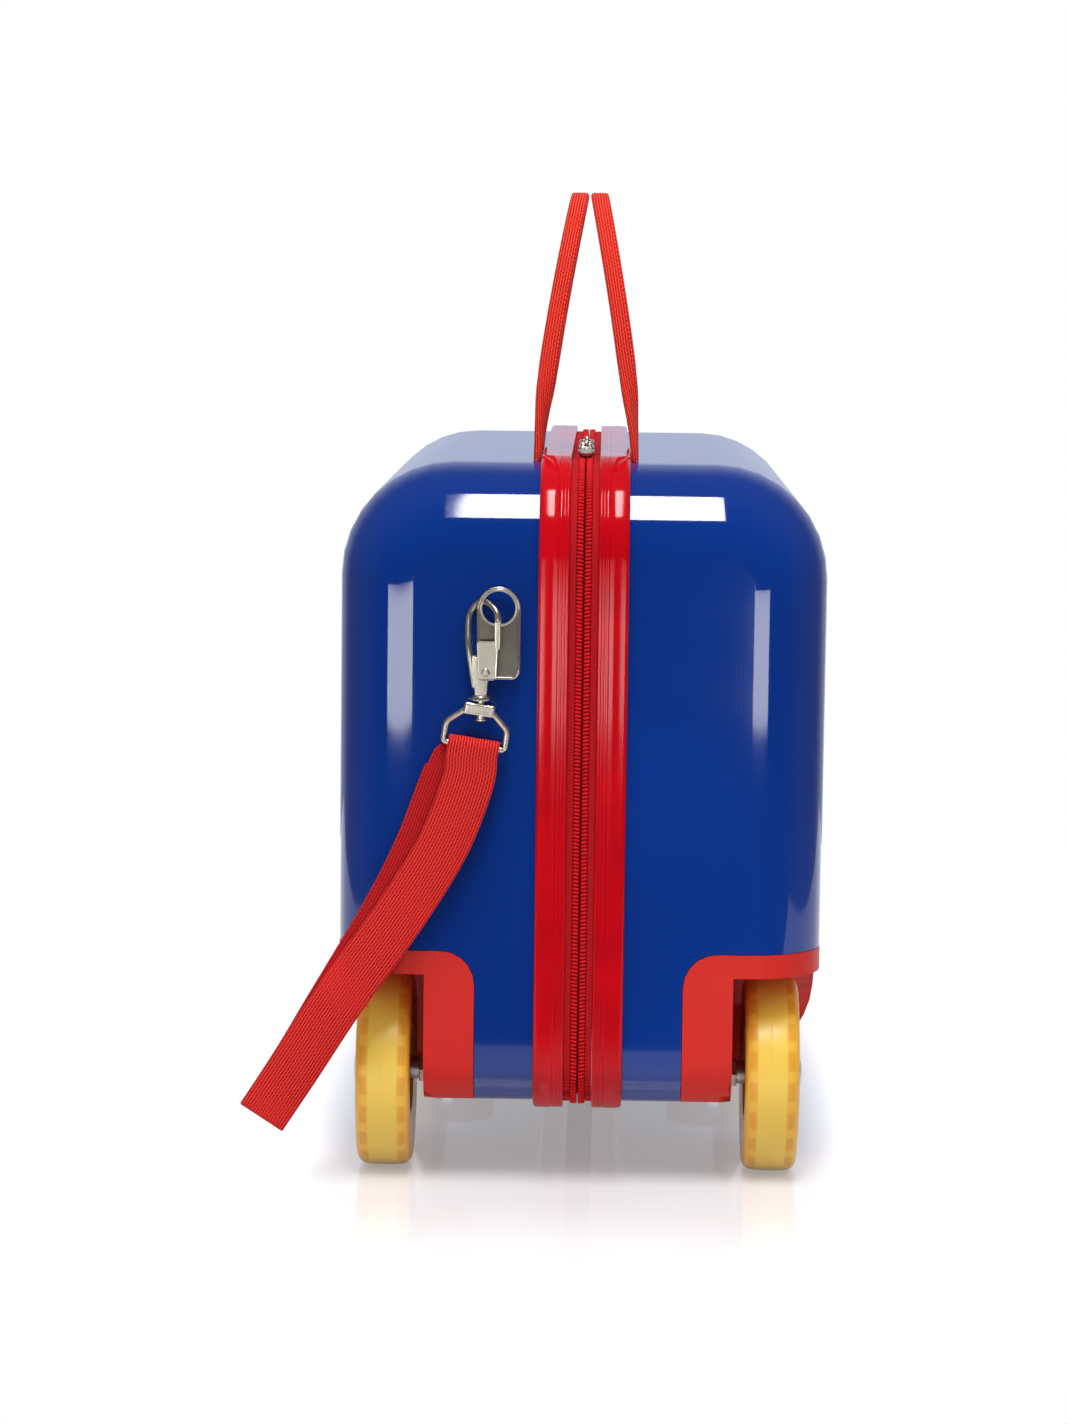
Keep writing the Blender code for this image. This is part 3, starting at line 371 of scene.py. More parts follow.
def shell_finish():
    """Gloss blue, with arcs and dots printed on the two flanks."""
    finish = Finish("shell_blue", linear(8, 44, 126), 0.05)
    x, y, z = finish.axes()
    flank = abs(x).step(0.1165, 0.1172)
    radius = finish.length(y, z - PRINT_CENTRE_Z)
    above = z.step(PRINT_CENTRE_Z - 0.0002, PRINT_CENTRE_Z + 0.0002)
    colour = finish.drift(finish.noise(4.0, 2.0), linear(5, 42, 117), linear(7, 50, 134))
    soft = PRINT_SOFTNESS
    for low, high, ink in PRINT_BANDS:
        colour = finish.mix(radius.between(low, high, soft) * above * flank, colour, ink)
    inside = abs(y).step(0.1726, 0.1724) * z.step(0.2926, 0.2924)
    for shift, ink in zip((0.0, DOT_PITCH / 2), DOT_COLOURS):
        dots = [((w + shift) / DOT_PITCH).math("ROUND") * DOT_PITCH - shift for w in (y, z)]
        dot_y, dot_z = dots
        reach = finish.length(y - dot_y, z - dot_z)
        middle = finish.length(dot_y, dot_z - PRINT_CENTRE_Z)
        free = middle.step(0.1585, 0.1586) + middle.step(0.0975, 0.0974)
        dot = reach.step(DOT_RADIUS + soft, DOT_RADIUS - soft)
        colour = finish.mix(dot * free * inside * above * flank, colour, ink)
    finish.set("Base Color", colour)
    finish.set("Roughness", 0.03 + 0.04 * finish.noise(55.0, 4.0))
    finish.bump(finish.noise(200.0, 1.0), 0.00002, 0.08)
    return finish


def gasket_finish():
    finish = Finish("gasket_red", linear(182, 5, 20), 0.22, specular_ior_level=0.22)
    colour = finish.drift(finish.noise(30.0), linear(174, 4, 18), linear(190, 7, 22))
    finish.set("Base Color", colour)
    finish.set("Roughness", 0.07 + 0.05 * finish.noise(40.0))
    finish.bump(finish.noise(300.0, 2.0), 0.00001, 0.1)
    return finish


def webbing_finish(name, across_pitch, along_pitch, colours):
    """Woven webbing: columns of raised picks along the tape, each row set off by half a pitch."""
    dark, middle, pick_highlight = colours
    roughness = 0.82
    finish = Finish(name, middle, roughness, specular_ior_level=0.25,
                    sheen_weight=0.06, sheen_roughness=0.4)
    across, along = finish.laid()
    column = across.wave(across_pitch)
    odd = (across / (2 * across_pitch)).math("FRACT").step(0.49, 0.51)
    pick = (along + odd * (along_pitch / 2)).wave(along_pitch)
    height = column * (0.35 + 0.65 * pick)
    fibre = finish.noise(2600.0, 2.0, finish.join(across, along * 0.15, 0.0))
    worn = finish.noise(22.0)
    # Painted shade: darker in the weave's low parts, between the picks.
    body = finish.mix((height + 0.25 * fibre).step(0.12, 0.75), dark, middle)
    # Painted highlight: a pale tone on the tops of the raised picks.
    body = finish.mix((height + 0.3 * fibre).step(0.78, 1.15), body, pick_highlight)
    finish.set("Base Color", finish.mix(worn.step(0.45, 0.75) * 0.35, body, middle))
    finish.set("Roughness", roughness - 0.12 * height)
    finish.bump(height + 0.25 * fibre, across_pitch * 0.28, 0.8)
    return finish


def zip_cloth_finish():
    finish = Finish("zip_cloth_red", linear(168, 14, 24), 0.85, specular_ior_level=0.15,
                    sheen_weight=0.04, sheen_roughness=0.4)
    x, y, z = finish.axes()
    rib = (y + z).wave(0.0009) * (0.5 + 0.5 * x.wave(0.0006))
    finish.set("Base Color", finish.mix(rib, linear(146, 12, 20), linear(212, 28, 38)))
    finish.bump(rib, 0.00015, 0.8)
    return finish


def coil_finish():
    finish = Finish("zip_coil_red", linear(164, 8, 16), 0.5, specular_ior_level=0.12)
    tone = finish.noise(600.0, 2.0)
    finish.set("Base Color", finish.drift(tone, linear(174, 10, 18), linear(206, 20, 28)))
    finish.set("Roughness", 0.5 + 0.1 * tone)
    finish.bump(tone, 0.00001, 0.2)
    return finish


def cloth_finish(name, dark, light, pitch):
    """Plain weave read on all three axes, so that it shows on every wall."""
    finish = Finish(name, light, 0.88, sheen_weight=0.3, sheen_roughness=0.5)
    x, y, z = finish.axes()
    weave = x.wave(pitch) * 0.34 + y.wave(pitch) * 0.33 + z.wave(pitch) * 0.33
    cloud = finish.noise(14.0, 4.0)
    shade = finish.mix(weave.step(0.2, 0.8), dark, light)
    finish.set("Base Color", finish.mix(cloud.step(0.35, 0.8) * 0.3, shade, dark))
    finish.bump(weave + 2.5 * cloud, pitch * 0.3, 0.5)
    return finish


def plastic_finish(name, colour, other, grain, specular=0.5):
    """Moulded plastic with a fine grain and a slight drift of tone."""
    roughness = 0.4
    finish = Finish(name, colour, roughness, specular_ior_level=specular)
    finish.set("Base Color", finish.drift(finish.noise(9.0), colour, other, 0.3, 0.72))
    finish.set("Roughness", roughness - 0.04 + 0.10 * finish.noise(120.0))
    finish.bump(finish.noise(grain), 0.00005, 0.45)
    return finish


BLOCK_TURNS = 20
BLOCK_ACROSS = (0.0076, 0.0114)


def tyre_finish():
    """Clear yellow polyurethane, with the core's darker blocks showing in two rows."""
    finish = Finish("tyre_yellow", linear(230, 186, 74), 0.34, subsurface_weight=0.35)
    finish.set("Subsurface Scale", 0.006)
    finish.set("Subsurface Radius", (1.0, 0.6, 0.2))
    x, y, z = finish.axes()
    across = abs(abs(x) - WHEEL_X)
    wheel_y = abs(y) - WHEEL_Y
    wheel_z = z - WHEEL_RADIUS
    turn = wheel_z.math("ARCTAN2", wheel_y) / (2 * pi) * BLOCK_TURNS
    radius = (wheel_y * wheel_y + wheel_z * wheel_z).math("SQRT")
    row = across.between(*BLOCK_ACROSS, 0.0009)
    repeat = turn.repeats(1.0).step(0.38, 0.25)
    tread = radius.step(0.044, 0.0455)
    side = radius.step(0.0445, 0.038) * across.step(0.010, 0.0125)
    cloud = finish.noise(20.0)
    base = finish.drift(cloud, linear(224, 172, 56), linear(232, 184, 66))
    # Painted light: a lighter band along the middle of the tread.
    lit_tread_middle = across.step(0.0079, 0.0066) * tread
    base = finish.mix(lit_tread_middle * (0.6 + 0.4 * cloud), base, linear(228, 196, 82))
    # Painted shade: darker side walls.
    base = finish.mix(side * 0.4, base, linear(206, 134, 36))
    window = repeat * radius.between(0.0360, 0.0424, 0.0008) * across.step(0.0108, 0.0124)
    base = finish.mix(window * 0.5, base, linear(200, 128, 30))
    # Painted shade: darker shoulders where the tread rounds over.
    edge = across.step(0.0112, 0.0135) * radius.step(0.040, 0.047)
    base = finish.mix(edge * 0.3, base, linear(214, 150, 44))
    finish.set("Base Color", finish.mix(repeat * row * tread * 0.6, base, linear(208, 138, 30)))
    finish.set("Roughness", 0.3 + 0.1 * finish.noise(90.0) - side * 0.1)
    finish.bump(finish.noise(160.0, 2.0), 0.00005, 0.3)
    return finish


def metal_finish(name, colour, other, roughness, streaks, bump=0.00003):
    """Plated metal, with fine streaks scaled along each axis."""
    finish = Finish(name, colour, roughness, metallic=1.0)
    streak = finish.noise(1.0, vector=finish.stretched(*streaks))
    cloud = finish.noise(35.0, 4.0)
    finish.set("Base Color", finish.drift(cloud, colour, other, 0.35, 0.75))
    finish.set("Roughness", roughness - 0.05 + 0.14 * streak)
    finish.bump(streak, bump, 0.5)
    return finish


shell_blue = shell_finish()
gasket_red = gasket_finish()
zip_cloth = zip_cloth_finish()
zip_coil = coil_finish()
lining_grey = cloth_finish("lining_grey", linear(66, 72, 88), linear(104, 112, 130), 0.0011)
divider_grey = cloth_finish("divider_grey", linear(58, 64, 80), linear(94, 102, 120), 0.0014)
red = (linear(168, 14, 12), linear(228, 40, 28), linear(255, 122, 72))
handle_web = webbing_finish("handle_webbing", 0.00133, 0.0022, red)
red = (linear(152, 12, 14), linear(226, 36, 32), linear(255, 86, 66))
loop_web = webbing_finish("loop_webbing", 0.0014, 0.0024, red)
# Painted shade: a deeper red webbing for the pull loop's back leg, which lies in shade against the
# case.
red = (linear(130, 2, 8), linear(202, 8, 18), linear(224, 30, 32))
loop_web_painted_shade = webbing_finish("loop_webbing_painted_shade", 0.0014, 0.0024, red)
black = (linear(14, 14, 16), linear(34, 34, 38), linear(62, 62, 68))
strap_web = webbing_finish("packing_webbing", 0.0016, 0.0020, black)
buckle_black = plastic_finish("buckle_black", linear(24, 24, 27), linear(32, 32, 36), 900.0)
housing_red = plastic_finish("housing_red", linear(194, 30, 22), linear(204, 38, 28), 700.0, 0.22)
tyre_yellow = tyre_finish()
hub_amber = plastic_finish("hub_amber", linear(176, 104, 34), linear(196, 124, 44), 500.0)
pair = (linear(188, 186, 180), linear(164, 160, 152))
steel = metal_finish("zinc_steel", *pair, 0.3, (60, 900, 900))
pair = (linear(214, 208, 194), linear(196, 188, 172))
nickel = metal_finish("nickel", *pair, 0.27, (500, 500, 60), 0.00001)
# Painted shade: a dark, dull nickel for the anchor plate's recessed front face; its vertical
# streaks are a brushed grain.
pair = (linear(112, 108, 100), linear(134, 130, 120))
nickel_recess_painted_shade = metal_finish("nickel_recess_painted_shade", *pair, 0.4, (1500, 1500, 40), 0.00006)


SORT_DIRECTION = Vector((0.9134, 0.3712, 0.1579))


def in_order(bm):
    """Sorts a mesh by place, because extrude and spin leave another order at each run."""
    bm.verts.sort(key=lambda vert: vert.co.dot(SORT_DIRECTION))
    for parts in (bm.edges, bm.faces):
        parts.sort(key=lambda part: sum(vert.co.dot(SORT_DIRECTION) for vert in part.verts))


def piece(name, bm, finish, body, replaced, sharp=35.0, turn_out=True):
    """Makes an object of a finished mesh, and sets what it rides on and stands for."""
    in_order(bm)
    if turn_out:
        bmesh.ops.recalc_face_normals(bm, faces=bm.faces)
    mesh = bpy.data.meshes.new(name)
    bm.to_mesh(mesh)
    bm.free()
    mesh.shade_smooth()
    mesh.set_sharp_from_angle(angle=radians(sharp))
    mesh.materials.append(finish.material)
    made = add_object(name, mesh)
    if body:
        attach(made, body)
    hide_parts(*replaced)
    if sharp < 55:
        # Keeps flat faces flat beside roundings
        weighted = made.modifiers.new("even_shading", "WEIGHTED_NORMAL")
        weighted.keep_sharp = True
        weighted.weight = 80
    return made


def second_finish(made, finish, chosen):
    """Gives the faces that a test picks a second material."""
    made.data.materials.append(finish.material)
    for face in made.data.polygons:
        if chosen(face):
            face.material_index = 1


def node_copy(name):
    """A CAD node's mesh as one welded surface, each flat face in one piece."""
    bm = bmesh.new()
    bm.from_mesh(NODES[name].data)
    bmesh.ops.remove_doubles(bm, verts=bm.verts, dist=WELD)
    flat = radians(0.4)
    bmesh.ops.dissolve_limit(bm, angle_limit=flat, verts=bm.verts[:], edges=bm.edges[:])
    return bm


def cad_piece(name, node_name, finish, body, sharp):
    """A piece with a CAD node's own surface."""
    piece(name, node_copy(node_name), finish, body, [node_name], sharp, False)


def middle_of(points):
    return sum((Vector(point) for point in points), Vector()) / len(points)


def swept(rings, closed=False):
    """Carries a ring of points through its places by extruding, with a map across and along it."""
    bm = bmesh.new()
    laid = bm.loops.layers.uv.new("laid")
    first = rings[0]
    count = len(first)
    row = [bm.verts.new(point) for point in first]
    edges = [bm.edges.new((a, b)) for a, b in zip(row, row[1:] + row[:1])]
    ends = [edges]
    spot = {vert: (0, column) for column, vert in enumerate(row)}
    across = [0.0]
    for a, b in zip(first, first[1:] + first[:1]):
        across.append(across[-1] + (Vector(b) - Vector(a)).length)
    along = [0.0]
    places = rings[1:] + ([first] if closed else [])
    for number, (before, ring) in enumerate(zip(rings, places), 1):
        made = set(bmesh.ops.extrude_edge_only(bm, edges=edges)["geom"])
        following = []
        for column, vert in enumerate(row):
            fresh = next(e.other_vert(vert) for e in vert.link_edges if e.other_vert(vert) in made)
            fresh.co = ring[column]
            spot[fresh] = (number, column)
            following.append(fresh)
        edges = [bm.edges.get(pair) for pair in zip(following, following[1:] + following[:1])]
        along.append(along[-1] + (middle_of(ring) - middle_of(before)).length)
        row = following
    ends.append(edges)
    for face in bm.faces:
        columns = [spot[loop.vert][1] for loop in face.loops]
        wraps = max(columns) - min(columns) > count / 2
        for loop, column in zip(face.loops, columns):
            column = count if wraps and column == 0 else column
            loop[laid].uv = (across[column], along[spot[loop.vert][0]])
    if closed:
        bmesh.ops.remove_doubles(bm, verts=bm.verts, dist=WELD)
    else:
        bmesh.ops.holes_fill(bm, edges=ends[0] + ends[1], sides=0)
    return bm


def web_section(width, thickness):
    """A tape's section: flat faces, full rounded edges."""
    half = width / 2
    thin = thickness / 2
    points = []
    for side in (1, -1):
        for i in range(5):
            angle = radians(-90 + 45 * i)
            out = half - 0.8 * thin * (1 - cos(angle))
            points.append((side * out, side * thin * sin(angle)))
    return points


def web_rings(sections, width, thickness):
    """Rings of a tape through its middles, each with a direction across and one through it."""
    rings = []
    for middle, across, through in sections:
        w = across.normalized()
        t = through.normalized()
        rings.append([middle + w * a + t * b for a, b in web_section(width, thickness)])
    return rings


def smooth_line(points, steps):
    """Points along a smooth curve through the given points."""
    line = [Vector(point) for point in points]
    line = [2 * line[0] - line[1], *line, 2 * line[-1] - line[-2]]
    found = []
    spans = len(points) - 1
    for i in range(steps + 1):
        where = i * spans / steps
        k = min(int(where), spans - 1)
        t = where - k
        a, b, c, d = line[k : k + 4]
        rise = (c - a) * t + (2 * a - 5 * b + 4 * c - d) * t**2 + (3 * b - a - 3 * c + d) * t**3
        found.append(b + 0.5 * rise)
    return found


def add_spline(curve, points, cyclic):
    spline = curve.splines.new("POLY")
    spline.points.add(len(points) - 1)
    for point, place in zip(spline.points, points):
        point.co = (*place, 1.0)
    spline.use_cyclic_u = cyclic


def curve_mesh(curve):
    """The mesh that a curve makes, welded."""
    holder = add_object("curve", curve)
    shown = holder.evaluated_get(bpy.context.evaluated_depsgraph_get())
    mesh = bpy.data.meshes.new_from_object(shown)
    bpy.data.objects.remove(holder, do_unlink=True)
    bm = bmesh.new()
    bm.from_mesh(mesh)
    bmesh.ops.remove_doubles(bm, verts=bm.verts, dist=WELD)
    return bm


def wire(points, radius, cyclic=False, resolution=4):
    """A round wire through points, as a closed mesh."""
    curve = bpy.data.curves.new("wire", "CURVE")
    curve.dimensions = "3D"
    curve.bevel_depth = radius
    curve.bevel_resolution = resolution
    curve.use_fill_caps = True
    add_spline(curve, points, cyclic)
    return curve_mesh(curve)


def move(bm, matrix):
    bmesh.ops.transform(bm, matrix=matrix, verts=bm.verts)


def move_by(bm, *by):
    bmesh.ops.translate(bm, vec=by, verts=bm.verts)


def join(bm, other):
    """Adds another mesh, in its place, to the first, and lets it go."""
    mesh = bpy.data.meshes.new("joined")
    other.to_mesh(mesh)
    other.free()
    bm.from_mesh(mesh)
    bpy.data.meshes.remove(mesh)
    return bm


def block(low, high, bevel=0.0, segments=3, only=None):
    """A box between two corners, with all its edges rounded, or those that a test picks."""
    low, high = Vector(low), Vector(high)
    bm = bmesh.new()
    bmesh.ops.create_cube(bm, size=1.0)
    bmesh.ops.scale(bm, vec=high - low, verts=bm.verts)
    move_by(bm, *(low + high) / 2)
    if bevel:
        round_edges(bm, [e for e in bm.edges if only is None or only(e)], bevel, segments)
    return bm


def round_edges(bm, edges, offset, segments=3):
    bmesh.ops.bevel(bm, geom=edges, offset=offset, segments=segments,
                    profile=0.5, affect="EDGES", material=-1)


def turned(profile, centre, outward=1, steps=64):
    """A closed profile of radius and distance along X, spun about the X axis."""
    bm = bmesh.new()
    verts = [bm.verts.new((along, 0.0, radius)) for radius, along in profile]
    edges = [bm.edges.new((a, b)) for a, b in zip(verts, verts[1:] + verts[:1])]
    bmesh.ops.spin(bm, geom=verts + edges, cent=(0, 0, 0), axis=(1, 0, 0),
                   angle=2 * pi, steps=steps, use_merge=True)
    bmesh.ops.remove_doubles(bm, verts=bm.verts, dist=WELD)
    bmesh.ops.scale(bm, vec=(outward, 1, 1), verts=bm.verts)
    move_by(bm, *centre)
    return bm


def cone(segments, low_radius, high_radius, depth, centre=(0, 0, 0)):
    """A closed cone or cylinder along Z."""
    bm = bmesh.new()
    bmesh.ops.create_cone(bm, cap_ends=True, segments=segments, depth=depth,
                          radius1=low_radius, radius2=high_radius)
    move_by(bm, *centre)
    return bm


def edges_along(bm, axis, along=True):
    """The edges that run along an axis, 0 for X to 2 for Z, or those that don't."""
    return [e for e in bm.edges if runs_along(axis)(e) == along]


def runs_along(axis):
    return lambda edge: abs(edge.verts[0].co[axis] - edge.verts[1].co[axis]) > 0.001


def arc(centre, radius, start, end, steps):
    angles = [radians(start + (end - start) * i / steps) for i in range(steps + 1)]
    return [(centre[0] + radius * cos(a), centre[1] + radius * sin(a)) for a in angles]


# Shells and housings: the CAD's own surfaces, welded and shaded evenly

for side in SIDES:
    body = f"{side}_half"
    cad_piece(f"{side}_shell", f"shell_{side}", shell_blue, body, 32)
    for end in ENDS:
        name = f"wheel_housing_{side}_{end}"
        cad_piece(f"{side}_{end}_housing", name, housing_red, body, 32)


# Seam: gasket bands, zip tapes and coils

SEAM_STEPS = 16
GASKET_SECTION = (
    (0.0070, -0.0035), (0.0070, 0.0026), (0.0072, 0.0032), (0.0078, 0.0035),
    (0.0086, 0.0035), (0.0089, 0.0032), (0.0092, 0.0035), (0.0101, 0.0035),
    (0.0104, 0.0032), (0.0107, 0.0035), (0.0121, 0.0035), (0.0125, 0.0031),
    (0.0129, 0.0035), (0.0160, 0.0036), (0.0198, 0.0035), (0.0209, 0.0033),
    (0.0216, 0.0027), (0.0220, 0.0018), (0.0220, 0.0003), (0.0087, 0.0003),
    (0.0087, -0.0035),
)
TAPE_SECTION = (
    (0.0003, -0.0013), (0.0003, -0.0007), (0.0038, -0.0007),
    (0.0038, 0.0002), (0.0069, 0.0002), (0.0069, -0.0013),
)
TOOTH_PITCH = 0.00185
TOOTH_OUTER = 0.0036
TOOTH_SIZE = (0.0034, 0.0015, 0.0021)


def seam_line(steps):
    """Places round the case in the seam plane, each with its outward direction."""
    low = (CASE_BOTTOM + END_TO_BOTTOM, END_TO_BOTTOM)
    high = (CASE_TOP - END_TO_TOP, END_TO_TOP)
    line = []
    for side, (z, radius), first in ((-1, low, 270), (-1, high, 180), (1, high, 90), (1, low, 0)):
        centre = Vector((0, side * (HALF_LENGTH - radius), z))
        for i in range(steps + 1):
            angle = radians(first - 90 * i / steps)
            out = Vector((0, cos(angle), sin(angle)))
            line.append((centre + out * radius, out))
    return line


def round_seam(line, section, sign):
    return [[place + out * proud + Vector((sign * across, 0, 0)) for across, proud in section]
            for place, out in line]


def zip_line():
    down = Vector((0, 0, -1))
    front = (Vector((0, -HINGE_HALF - GAP, CASE_BOTTOM)), down)
    rear = (Vector((0, HINGE_HALF + GAP, CASE_BOTTOM)), down)
    return [front, *seam_line(SEAM_STEPS), rear]


def tooth_mesh():
    bm = block((-0.5, -0.5, -0.5), (0.5, 0.5, 0.5))
    bmesh.ops.scale(bm, vec=TOOTH_SIZE, verts=bm.verts)
    round_edges(bm, bm.edges[:], 0.0005, 1)
    mesh = bpy.data.meshes.new("tooth")
    bm.to_mesh(mesh)
    bm.free()
    return mesh


def wound_coil(sign):
    """Rows of slanted teeth at one pitch, the two halves half a pitch apart."""
    line = zip_line()
    tooth = tooth_mesh()
    bm = bmesh.new()
    due = TOOTH_PITCH * (0.5 if sign > 0 else 1.0)
    middle = Vector((sign * (TOOTH_OUTER + GAP) / 2, 0, 0))
    slant = Matrix.Rotation(radians(9 * sign), 3, "Z")
    for (place, out), (following, next_out) in zip(line, line[1:]):
        span = (following - place).length
        if span < 1e-9:
            continue
        while due <= span:
            share = due / span
            up = out.lerp(next_out, share).normalized()
            where = place.lerp(following, share) + up * 0.0004 + middle
            forward = up.cross(Vector((1, 0, 0)))
            turn = Matrix((Vector((1, 0, 0)), forward, up)).transposed() @ slant
            pose = Matrix.Translation(where) @ turn.to_4x4()
            tooth.transform(pose)
            bm.from_mesh(tooth)
            tooth.transform(pose.inverted())
            due += TOOTH_PITCH
        due -= span
    return bm


for side, sign in SIDES.items():
    body = f"{side}_half"
    bm = swept(round_seam(seam_line(SEAM_STEPS), GASKET_SECTION, sign), closed=True)
    piece(f"{side}_gasket", bm, gasket_red, body, [f"gasket_{side}"], 50)
    bm = swept(round_seam(zip_line(), TAPE_SECTION, sign))
    piece(f"{side}_zip_tape", bm, zip_cloth, body, [f"zip_tape_{side}"])
    bm = wound_coil(sign)
    piece(f"{side}_zip_teeth", bm, zip_coil, body, [f"zip_coil_{side}"], 60)


# Carry handles

HANDLE_STEPS = 72


def handle_sections(sign):
    """Webbing that leaves the seam edge on, and turns flat by the top of its arch."""
    places = []
    for i in range(HANDLE_STEPS + 1):
        angle = pi * i / HANDLE_STEPS
        along = cos(angle)
        rise = sin(angle) ** 0.85 if 0 < i < HANDLE_STEPS else 0.0
        y = HANDLE_Y - HANDLE_SPREAD * copysign(abs(along) ** 0.72, along)
        x = HANDLE_FOOT_X + (HANDLE_CREST_X - HANDLE_FOOT_X) * rise**1.35
        places.append((Vector((sign * x, y, HANDLE_FOOT_Z + HANDLE_RISE * rise)), rise))
    sections = []
    for i, (middle, rise) in enumerate(places):
        before = places[max(0, i - 1)][0]
        after = places[min(HANDLE_STEPS, i + 1)][0]
        along = (after - before).normalized()
        if i in (0, HANDLE_STEPS):
            along = Vector((0, 0, 1 if i == 0 else -1))
        flat = (Vector((1, 0, 0)) - along * along.x).normalized()
        edge = along.cross(flat)
        share = min(1.0, rise / 0.45)
        turn = radians(90) * (1 - share * share * (3 - 2 * share))
        if i > HANDLE_STEPS / 2:
            turn = -turn
        across = flat * cos(turn) + edge * sin(turn)
        sections.append((middle, across, along.cross(across)))
    return sections


for side, sign in SIDES.items():
    name = f"handle_{side}"
    bm = swept(web_rings(handle_sections(sign), HANDLE_WIDTH, HANDLE_THICKNESS))
    piece(f"{side}_handle", bm, handle_web, name, [name], 60)


# Wheels: tyre with a crowned tread, dished hub, bearing, axle and nut

TYRE_HALF = (
    (HUB_RADIUS + GAP, 0.0120), (0.0262, 0.0124), (0.0300, 0.0130), (0.0420, 0.0135),
    (0.0448, 0.0134), (0.0466, 0.0126), (0.0478, 0.0112), (0.0485, 0.0092),
    (0.0489, 0.0062), (0.0490, 0.0012), (0.04885, 0.0004),
)
HUB_FACE = (
    (0.0113, 0.0066), (0.0118, 0.0078), (0.0132, 0.0078), (0.0138, 0.0066),
    (0.0150, 0.0052), (0.0185, 0.0056), (0.0202, 0.0072), (0.0210, 0.0112),
    (0.0216, 0.0125), (0.0235, 0.0125), (0.0240, 0.0118),
)
BEARING_HALF = (
    (0.0043, 0.0033), (0.0045, 0.0035), (0.0061, 0.0035), (0.0063, 0.0031),
    (0.0088, 0.0031), (0.0090, 0.0035), (0.0108, 0.0035), (0.0110, 0.0033),
)


def both_faces(half):
    """A section's half, and the same mirrored, as one closed outline."""
    return [*half, *[(radius, -along) for radius, along in reversed(half)]]


def make_wheel(side, sign, end, direction):
    place = f"{side}_{end}"
    body = f"wheel_{place}"
    centre = Vector((sign * WHEEL_X, direction * WHEEL_Y, WHEEL_RADIUS))
    tyre = turned(both_faces(TYRE_HALF), centre, sign, 96)
    piece(f"{place}_tyre", tyre, tyre_yellow, body, [f"tyre_{place}"], 45)
    hub = turned(both_faces(HUB_FACE), centre, sign, 72)
    for i in range(6):
        rib = block((-0.0072, -0.0011, 0.0134), (0.0072, 0.0011, 0.0212), 0.0006, 2)
        move(rib, Matrix.Translation(centre) @ Matrix.Rotation(i * pi / 3, 4, "X"))
        join(hub, rib)
    piece(f"{place}_hub", hub, hub_amber, body, [f"hub_{place}"], 40)
    bearing = turned(both_faces(BEARING_HALF), centre, sign)
    piece(f"{place}_bearing", bearing, steel, body, [f"bearing_{place}"], 30)
    half = f"{side}_half"
    head = WHEEL_WIDTH / 2 + GAP
    axle_end = AXLE_START_X - WHEEL_X
    axle_section = [
        (0.0, head + 0.0012), (0.0022, head + 0.0012),
        (0.0026, head + 0.0027), (0.0052, head + 0.0026),
        (0.0074, head + 0.0018), (0.0080, head + 0.0008),
        (0.0080, head), (0.0058, head),
        (0.0058, 0.0038), (0.0040, 0.0038),
        (0.0040, axle_end), (0.0, axle_end),
    ]
    axle = turned(axle_section, centre, sign, 48)
    piece(f"{place}_axle", axle, steel, half, [f"axle_{place}"], 30)
    nut_start = NUT_START_X - WHEEL_X
    sleeve = [(0.0043, -0.0038), (0.0058, -0.0038), (0.0058, nut_start), (0.0043, nut_start)]
    nut = turned(sleeve, centre, sign)
    collar = cone(6, 0.0074, 0.0074, NUT_HEIGHT)
    round_edges(collar, edges_along(collar, 2, False), 0.0004, 2)
    pose = Matrix.Translation(centre + Vector((sign * (nut_start + NUT_HEIGHT / 2), 0, 0)))
    move(collar, pose @ Matrix.Rotation(pi / 2, 4, "Y"))
    join(nut, collar)
    piece(f"{place}_nut", nut, steel, half, [f"axle_nut_{place}"], 30)


for side, sign in SIDES.items():
    for end, direction in ENDS.items():
        make_wheel(side, sign, end, direction)


# Zip sliders and pullers

SLIDER_Y = {"far": -0.097, "near": -0.145}
SLIDER_LOW = 0.3578
SLIDER_TOP = 0.3608
EYE_Z = 0.3631
PULLER_TILT = radians(11)


def make_slider(name, y):
    """Slider body, narrow at the closed end, with its bridge."""
    bm = block((-0.0044, y - 0.0065, SLIDER_LOW), (0.0044, y + 0.0065, SLIDER_TOP))
    narrow = -1 if name == "near" else 1
    for vert in bm.verts:
        if (vert.co.y - y) * narrow > 0:
            vert.co.x *= 0.66
    round_edges(bm, edges_along(bm, 2), 0.0018, 4)
    bm.normal_update()
    round_edges(bm, [e for e in bm.edges if e.calc_face_angle(0) > 1.0], 0.0005, 2)
    half = ((0.0030, -0.0006), (0.0030, 0.0026), (0.0022, 0.0037))
    bridge = [(0, y - along, SLIDER_TOP + up) for along, up in half]
    bridge += [(0, y + along, SLIDER_TOP + up) for along, up in reversed(half)]
    post = wire(bridge, 0.0009)
    bmesh.ops.scale(post, vec=(1.35, 1, 1), verts=post.verts)
    join(bm, post)
    piece(f"{name}_slider", bm, nickel, f"slider_{name}", [f"zip_slider_{name}"], 40)


